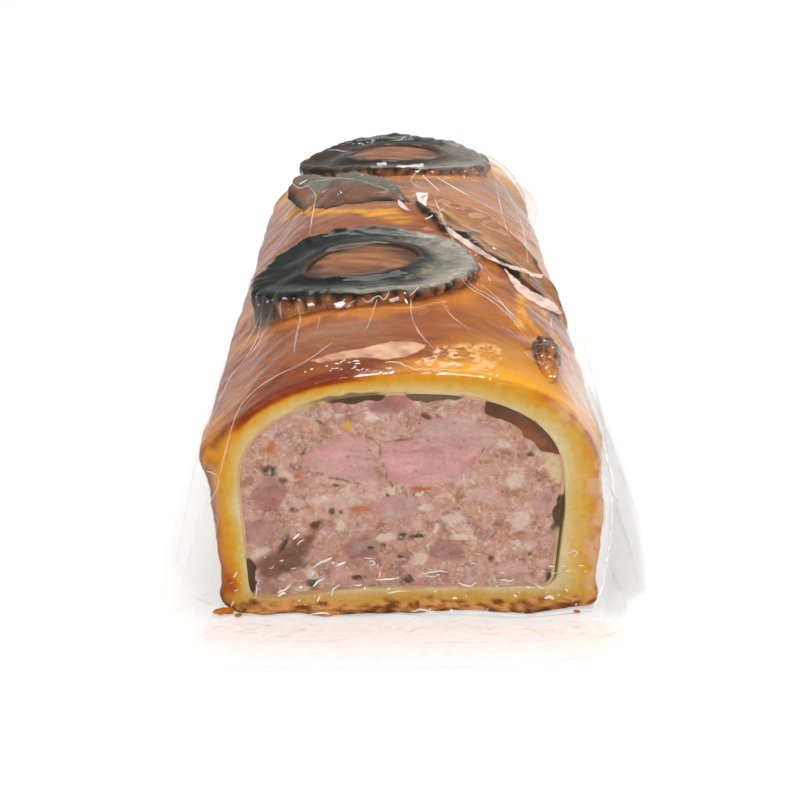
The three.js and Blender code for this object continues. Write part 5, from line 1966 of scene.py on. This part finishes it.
# Painted reflection: the floor film in front of the cut shows a little of the food's colour
PAINTED_REFLECTION_TINT = (srgb(250, 212, 194), 1.0, False)
PAINTED_REFLECTIONS = (
    (((205, 622), (300, 618), (420, 620), (540, 620), (612, 618), (632, 640), (600, 652), (420, 658),
      (240, 656), (190, 645)), 0.25, PAINTED_REFLECTION_TINT),
)
REFLECTION_EDGE = 9.0
REFLECTION_STEP = 3.0
REFLECTION_UNEVEN = 3.0
SHEEN_STEP = 0.8
SHEEN_RAGGED = 0.7
SHEEN_EDGE = 0.8
SHEEN_LIFT = 0.15
# Patches: margin in pixels, the faintest value that is kept, and how far in mm a face may step back
PATCH_MARGIN = 3.0
PATCH_FAINTEST = 0.004
PATCH_STEP_BACK = 6.0

# Folds that show as darker lines, and painted contact shadow along the foot, as polylines in pixels, with
# half-width in mm and strength
FOLDS = (
    (((309, 361), (333, 353), (353, 349), (378, 344), (391, 341), (410, 341), (428, 345)), 0.35, 0.9),
    (((382, 345), (386, 350), (383, 356), (377, 359)), 0.4, 0.7),
    # The next two are painted contact shadow under the sole of the cut
    (((252, 612), (290, 611), (340, 610), (380, 612), (425, 616), (450, 614), (490, 616), (512, 618),
      (550, 616), (592, 611)), 0.7, 0.95),
    (((222, 612), (236, 615), (254, 616)), 0.5, 0.6),
    (((228, 625), (246, 624), (265, 625), (284, 629), (300, 633)), 0.4, 0.5),
    (((230, 640), (300, 641), (400, 643), (500, 642), (600, 639)), 0.45, 0.42),
    (((225, 650), (300, 654), (400, 655), (500, 652), (605, 646)), 0.3, 0.16),
    (((132, 665), (250, 667), (400, 669), (470, 667), (550, 662), (620, 652), (685, 641)), 0.5, 0.24),
    (((515, 627), (545, 632), (580, 634)), 0.35, 0.3),
    (((616, 505), (628, 540), (640, 583)), 0.5, 0.3),
    (((588, 385), (607, 430), (622, 475), (640, 523)), 0.7, 0.25),
    (((197, 455), (190, 490), (182, 530), (176, 565)), 0.6, 0.18),
    (((206, 505), (200, 530), (190, 560), (180, 590)), 0.5, 0.22),
    (((186, 592), (196, 598), (206, 602), (215, 605)), 0.6, 0.3),
    (((192, 606), (200, 599), (208, 592)), 0.5, 0.28),
    (((613, 574), (622, 590), (626, 606), (628, 617)), 0.45, 0.35),
)
FOLD_STEP = 2.5
FOLD_HEIGHT = 0.12
FOLD_PROFILE = (0.0, 0.7, 1.0, 0.7, 0.0)

# Rays to the film, how many have to hit for a line, and the mirroring from the front end to the far end
RAY_LIMIT = 1e6
RING_RAY_START = 30.0
RING_RAY_REACH = 45.0
FEWEST_HITS = 3
TO_FAR_END = np.array([1.0, -1.0, 1.0])


def cast(tree, rays, reach=RAY_LIMIT):
    """Where rays, each a start and a direction, meet the film, and its normals there. Misses are left out."""
    points, normals = [], []
    for start, direction in rays:
        hit, normal, _, _ = tree.ray_cast(Vector(start), Vector(direction), reach)
        if hit is not None:
            points.append(np.array(hit))
            normals.append(np.array(normal))
    return np.array(points), np.array(normals)


def pixel_ray(pixel):
    """The camera's ray through a pixel."""
    right, up, forward = camera_axes()
    middle = IMAGE_SIZE / 2
    ray = forward * CAMERA_FOCAL_PIXELS + right * (pixel[0] - middle) + up * (middle - pixel[1])
    return CAMERA_AT, Vector(ray).normalized()


def rounded_line(line, step):
    """A polyline with its corners cut twice, sampled evenly."""
    points = np.array(line, float)
    for _ in range(2):
        a, b = points[:-1], points[1:]
        cut = np.stack([0.75 * a + 0.25 * b, 0.25 * a + 0.75 * b], 1).reshape(-1, points.shape[1])
        points = np.concatenate([points[:1], cut, points[-1:]])
    along = np.concatenate([[0.0], np.cumsum(np.linalg.norm(np.diff(points, axis=0), axis=1))])
    wanted = np.linspace(0.0, along[-1], max(4, int(along[-1] / step)))
    return np.stack([np.interp(wanted, along, points[:, i]) for i in range(points.shape[1])], -1)


def ridge(points, normals, half_width, height):
    """A low rounded ridge along points that lie on the film, thin at its ends."""
    tangent = np.gradient(points, axis=0)
    tangent /= np.maximum(np.linalg.norm(tangent, axis=1, keepdims=True), 1e-9)
    side = np.cross(normals, tangent)
    side /= np.maximum(np.linalg.norm(side, axis=1, keepdims=True), 1e-9)
    taper = np.sin(np.linspace(0.12, math.pi - 0.12, len(points)))[:, None] ** 0.6
    taper = taper * (1.0 + 0.45 * noise(points, 4.0, SEED + 98))[:, None]
    rows = [points + side * half_width * w * taper + normals * height * h * taper for w, h in RIDGE_PROFILE]
    return np.stack(rows, 1)


def pixel_track(tree, line, step, wander=0.0):
    """Points and normals on the film along a line in pixels, which may wander by a few."""
    track = rounded_line(line, step)
    flat = np.concatenate([track, np.zeros((len(track), 1))], 1)
    track = track + wander * np.stack([noise(flat, 5.0, SEED + 95), noise(flat, 5.0, SEED + 96)], -1)
    return cast(tree, [pixel_ray(pixel) for pixel in track])


def foot_glints(tree):
    """Short strokes of light on the film over the foot of each cut."""
    rng = np.random.default_rng(SEED + 3)
    strokes = []
    t = np.linspace(-0.5, 0.5, 6)
    for end in (-1.0, 1.0):
        for _ in range(FOOT_GLINTS):
            x = rng.uniform(-FOOT_HALF_WIDTH, FOOT_HALF_WIDTH)
            z = 1.4 + FOOT_GLINT_TOP * rng.uniform(0.0, 1.0) ** 1.1
            length = rng.uniform(*FOOT_GLINT_LENGTH) * rng.uniform(0.3, 1.0)
            length = length * (0.5 if z < SOLE_TOP + 3 else 1.0)
            turn = rng.normal(0.5 if x < -8.0 else -0.1, 0.4)
            bend = FOOT_GLINT_BEND * rng.normal() * (t * t - 0.25)
            half_width = rng.uniform(*FOOT_GLINT_HALF_WIDTH) * rng.uniform(0.6, 1.4)
            across = x + length * (t * math.cos(turn) - bend * math.sin(turn))
            height = z + length * (t * math.sin(turn) + bend * math.cos(turn))
            starts = [(px, end * (BACK + FILM_END_REACH), max(pz, 0.5)) for px, pz in zip(across, height)]
            points, normals = cast(tree, [(start, (0.0, -end, 0.0)) for start in starts])
            if len(points) == len(t) and np.abs(points[:, 1]).max() < BACK + FOOT_GLINT_BEYOND:
                strokes.append((points, normals, half_width, STROKE_HEIGHT, GLINT_HAZE, GLINT_TINT))
    return strokes


def ring_glints(tree):
    """Small strokes of light on the film over the beads of the rings."""
    rng = np.random.default_rng(SEED + 5)
    strokes = []
    t = np.linspace(-0.5, 0.5, 5)
    for spec in RINGS.values():
        for _ in range(RING_GLINTS):
            a = rng.uniform(0.0, 2 * np.pi)
            length = rng.uniform(*RING_GLINT_LENGTH)
            drop = rng.uniform(0.5, 4.5)
            tilt = rng.normal(0.0, 0.7)
            half_width = rng.uniform(*RING_GLINT_HALF_WIDTH)
            rays = []
            for step in length * t:
                turn = a + step * math.cos(tilt) / spec["rx"]
                outward = np.array([math.cos(turn), math.sin(turn), 0.0])
                edge = np.array([spec["x"], spec["y"], 0.0]) + outward * (spec["rx"], spec["ry"], 0.0)
                level = float(ring_level(spec, edge[0], edge[1])) - drop + step * math.sin(tilt)
                rays.append((edge + outward * RING_RAY_START + (0.0, 0.0, level), -outward))
            points, normals = cast(tree, rays, RING_RAY_REACH)
            if len(points) == len(t):
                strokes.append((points, normals, half_width, STROKE_HEIGHT, GLINT_HAZE, GLINT_TINT))
    return strokes


def slope_streaks(tree):
    """Faint long wrinkles of the film down the slopes of the dome, clear of the rings, with painted pale
    highlights.
    """
    rng = np.random.default_rng(SEED + 4)
    streaks = []
    t = np.linspace(0.0, 1.0, 16)
    for _ in range(SLOPE_STREAKS):
        start = 90.0 + rng.choice((-1.0, 1.0)) * rng.uniform(18.0, 75.0)
        span = rng.uniform(6.0, 30.0) * (1.0 if start > 90 else -1.0)
        y_start = rng.uniform(FRONT + 12, BACK - 12)
        drift = rng.uniform(-1.3, -0.3) * abs(span) * (1.0 if rng.uniform() < 0.75 else -1.0)
        bend = rng.normal(0.0, 3.0)
        half_width = rng.uniform(*SLOPE_STREAK_HALF_WIDTH)
        haze = rng.uniform(*SLOPE_STREAK_HAZE)
        angles = np.radians(np.clip(start + span * t, 4.0, 176.0))
        lengthwise = np.clip(y_start + drift * t + bend * t * (1.0 - t), FRONT + 2, BACK - 2)
        rays = []
        for a, y in zip(angles, lengthwise):
            outward = Vector((math.cos(a), 0.0, math.sin(a)))
            rays.append((Vector((0.0, y, SPRING)) + outward * FILM_HALF_WIDTH * 2, -outward))
        points, normals = cast(tree, rays)
        if len(points) < len(t):
            continue
        if min(ring_reach(spec, points[:, 0], points[:, 1]).min() for spec in RINGS.values()) >= RING_CLEAR:
            streaks.append((points, normals, half_width, STREAK_HEIGHT, haze, CREASE_TINT))
    return streaks


def drawn_lines(tree):
    """The creases and glints given in pixels; those near the front cut repeat at the far cut."""
    creases = [(line, CREASE_HALF_WIDTH) for line in CREASE_PIXELS]
    glints = list(GLINT_PIXELS)
    for column, line, length in EDGE_GLINTS:
        stroke = ((column - length / 2, line + 0.6), (column, line), (column + length / 2, line - 0.4))
        glints.append((stroke, EDGE_GLINT_HALF_WIDTH))
    lines = []
    kinds = ((creases, 2.0, 0.3, CREASE_HAZE, CREASE_TINT), (glints, 0.7, 1.0, GLINT_HAZE, GLINT_TINT))
    for rows, step, wander, haze, tint in kinds:
        for line, half_width in rows:
            points, normals = pixel_track(tree, line, step, wander)
            if len(points) < FEWEST_HITS:
                continue
            lines.append((points, normals, half_width, CREASE_HEIGHT, haze, tint))
            if points[:, 1].max() < FRONT + REPEATED_DEPTH:
                far = [tree.find_nearest(Vector(p))[:2] for p in points * TO_FAR_END]
                points, normals = np.array([f[0] for f in far]), np.array([f[1] for f in far])
                lines.append((points, normals, half_width, CREASE_HEIGHT, haze, tint))
    return lines


def build_creases(tree, material):
    """Ridges and glints that lie on the film, painted pale as highlights."""
    parts, haze, tints = [], [], []
    rows = drawn_lines(tree) + foot_glints(tree) + ring_glints(tree) + slope_streaks(tree)
    for line, normals, half_width, height, value, tint in rows:
        strip = ridge(line, normals, half_width, height)
        parts.append((strip, grid_faces(*strip.shape[:2]).tolist()))
        fade = 0.7 + 0.5 * noise(line, 9.0, SEED + 97)
        haze.append(np.clip(value * fade[:, None] * np.array(CREASE_PROFILE), 0.0, 1.0).ravel())
        tints.append(np.broadcast_to(tint, (strip.shape[0] * strip.shape[1], 3)))
    points, faces = join_parts(parts)
    marks = {"Haze": np.concatenate(haze)}
    make_piece("film_crease_highlights", points, faces, material, np.concatenate(tints), (), marks)


def build_patches(name, rows, tree, material, mark, edge, uneven, spacing):
    """Patches on the film, from outlines in pixels, laid on it as thin sheets with soft, uneven edges."""
    points, faces, values, tints = [], [], [], []
    for outline, strength, (tint, softness, broken) in rows:
        corners = np.array(outline, float)
        low, high = corners.min(0) - PATCH_MARGIN - edge, corners.max(0) + PATCH_MARGIN + edge
        columns, lines = np.arange(low[0], high[0], spacing), np.arange(low[1], high[1], spacing)
        px, py = np.meshgrid(columns, lines, indexing="ij")
        flat = np.stack([px, py, 0 * px], -1)
        ragged = uneven * (fractal(flat, (11.0, 4.0, 1.0), 3, SEED + 99) + 0.6 * noise(flat, 3.0, SEED + 102))
        soft = edge * softness
        value = strength * smoothstep(soft, -soft, polygon_distance(px, py, corners) + ragged)
        if uneven:
            value = value * (0.85 + 0.35 * noise(flat, (9.0, 4.0, 1.0), SEED + 100))
        if broken:
            gaps = fractal(flat, (13.0, 5.0, 1.0), 3, SEED + 103)
            bubbles = fractal(flat, (4.5, 2.6, 1.0), 3, SEED + 104)
            value = value * smoothstep(0.8, -0.5, gaps) * smoothstep(0.75, -0.35, bubbles)
        ids = np.full(px.shape, -1)
        for i, j in zip(*np.nonzero(value > PATCH_FAINTEST)):
            hits, normals = cast(tree, [pixel_ray((px[i, j], py[i, j]))])
            if len(hits):
                ids[i, j] = len(points)
                points.append(hits[0] + SHEEN_LIFT * normals[0])
                values.append(min(1.0, value[i, j]))
                tints.append(tint)
        for quad in np.stack([ids[:-1, :-1], ids[1:, :-1], ids[1:, 1:], ids[:-1, 1:]], -1).reshape(-1, 4):
            if quad.min() >= 0 and np.ptp([points[k][1] for k in quad]) < PATCH_STEP_BACK:
                faces.append(quad.tolist())
    make_piece(name, np.array(points), faces, material, np.array(tints), (), {mark: np.array(values)})


def build_folds(tree, material):
    """Darker fold lines on the film, and painted contact shadow along the foot; each repeats, mirrored, at
    the far end.
    """
    parts, shade = [], []
    for line, half_width, strength in FOLDS:
        points, normals = pixel_track(tree, line, FOLD_STEP)
        if len(points) < FEWEST_HITS:
            continue
        weight = strength * (0.6 + 0.6 * noise(points, 12.0, SEED + 101))[:, None] * np.array(FOLD_PROFILE)
        for side in (np.ones(3), TO_FAR_END):
            strip = ridge(points * side, normals * side, half_width, FOLD_HEIGHT)
            parts.append((strip, grid_faces(*strip.shape[:2]).tolist()))
            shade.append(np.clip(weight, 0.0, 1.0).ravel())
    points, faces = join_parts(parts)
    make_piece("film_folds", points, faces, material, None, (), {"Shade": np.concatenate(shade)})


# Flakes of pastry that came off at the foot: x, y, half-length, half-width and turn in degrees
FLAKES = (
    (-52.0, -130.8, 2.8, 1.2, 12), (-48.0, -132.4, 0.9, 0.6, 40), (46.5, -132.0, 1.0, 0.6, -20),
    (52.0, 129.5, 2.0, 1.0, 30), (-44.0, 132.0, 1.0, 0.7, 10),
)
FLAKE_AROUND = 20
FLAKE_ROWS = 8


def build_flakes(material):
    """Small lumpy flakes of pastry at the foot of the cuts."""
    parts = []
    a = np.linspace(0.0, 2 * np.pi, FLAKE_AROUND, endpoint=False)[None, :]
    b = np.linspace(-0.49 * np.pi, 0.49 * np.pi, FLAKE_ROWS)[:, None]
    for x, y, half_length, half_width, turn in FLAKES:
        along = half_length * np.cos(a) * np.cos(b)
        across = half_width * np.sin(a) * np.cos(b)
        up = 0.7 * half_width * np.sin(b) + 0 * a
        lumpy = 1.0 + 0.35 * noise(np.stack([along + x, across + y, up], -1), 0.9, SEED + 85)
        cos, sin = math.cos(math.radians(turn)), math.sin(math.radians(turn))
        px, py = x + lumpy * (along * cos - across * sin), y + lumpy * (along * sin + across * cos)
        flake = np.stack([px, py, 0.7 * half_width + 0.3 + up * lumpy], -1)
        parts.append((flake, tube_faces(FLAKE_ROWS, FLAKE_AROUND)))
    points, faces = join_parts(parts)
    colour = mix(ORANGE, AMBER, 0.4 + 0.8 * noise(points, 1.2, SEED + 86))
    make_piece("pastry_flakes", points, faces, material, colour, ())


# Assembly

add_camera()
add_world()
add_floor()
for lamp_row in LAMPS:
    add_softbox(*lamp_row)

crust_material = food_material(
    "baked_crust", roughness=0.5, grain=0.08, grain_size=1.3, bump=0.4, specular=0.07)
jelly_material = food_material(
    "brown_jelly", roughness=0.25, grain=0.06, grain_size=3.0, bump=0.08, specular=0.15, coat=0.1)
char_material = food_material(
    "charred_pastry", roughness=0.45, grain=0.25, grain_size=1.2, bump=0.5, specular=0.08)
leaf_material = food_material(
    "dark_pastry", roughness=0.45, grain=0.18, grain_size=1.4, bump=0.45, specular=0.15)

build_crust(crust_material)
build_filling(meat_material(), jelly_material)
for index, (ring_name, ring_spec) in enumerate(RINGS.items()):
    build_ring(ring_name, ring_spec, char_material, index + 1)
for index, (leaf_name, leaf_spec) in enumerate(LEAVES.items()):
    build_leaf(leaf_name, leaf_spec, leaf_material, index + 1)
build_curl(leaf_material)
build_flakes(crust_material)
food_pieces = [
    piece for piece in bpy.context.scene.objects
    if piece.type == "MESH" and "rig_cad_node" not in piece and piece.name != "floor"
]
film_tree = build_film(film_material(), food_pieces)
lit_film = lit_material()
fold_and_shade_film = fold_and_shade_material()
build_creases(film_tree, lit_film)
build_patches("film_sheen", SHEENS, film_tree, lit_film, "Haze", SHEEN_EDGE, SHEEN_RAGGED, SHEEN_STEP)
build_patches("film_painted_reflection", PAINTED_REFLECTIONS, film_tree, lit_film, "Haze", REFLECTION_EDGE, REFLECTION_UNEVEN, REFLECTION_STEP)
build_patches("film_shades", SHADES, film_tree, fold_and_shade_film, "Shade", SHADE_EDGE, 0.0, SHEEN_STEP)
build_folds(film_tree, fold_and_shade_film)

bpy.context.scene.view_settings.view_transform = "Standard"
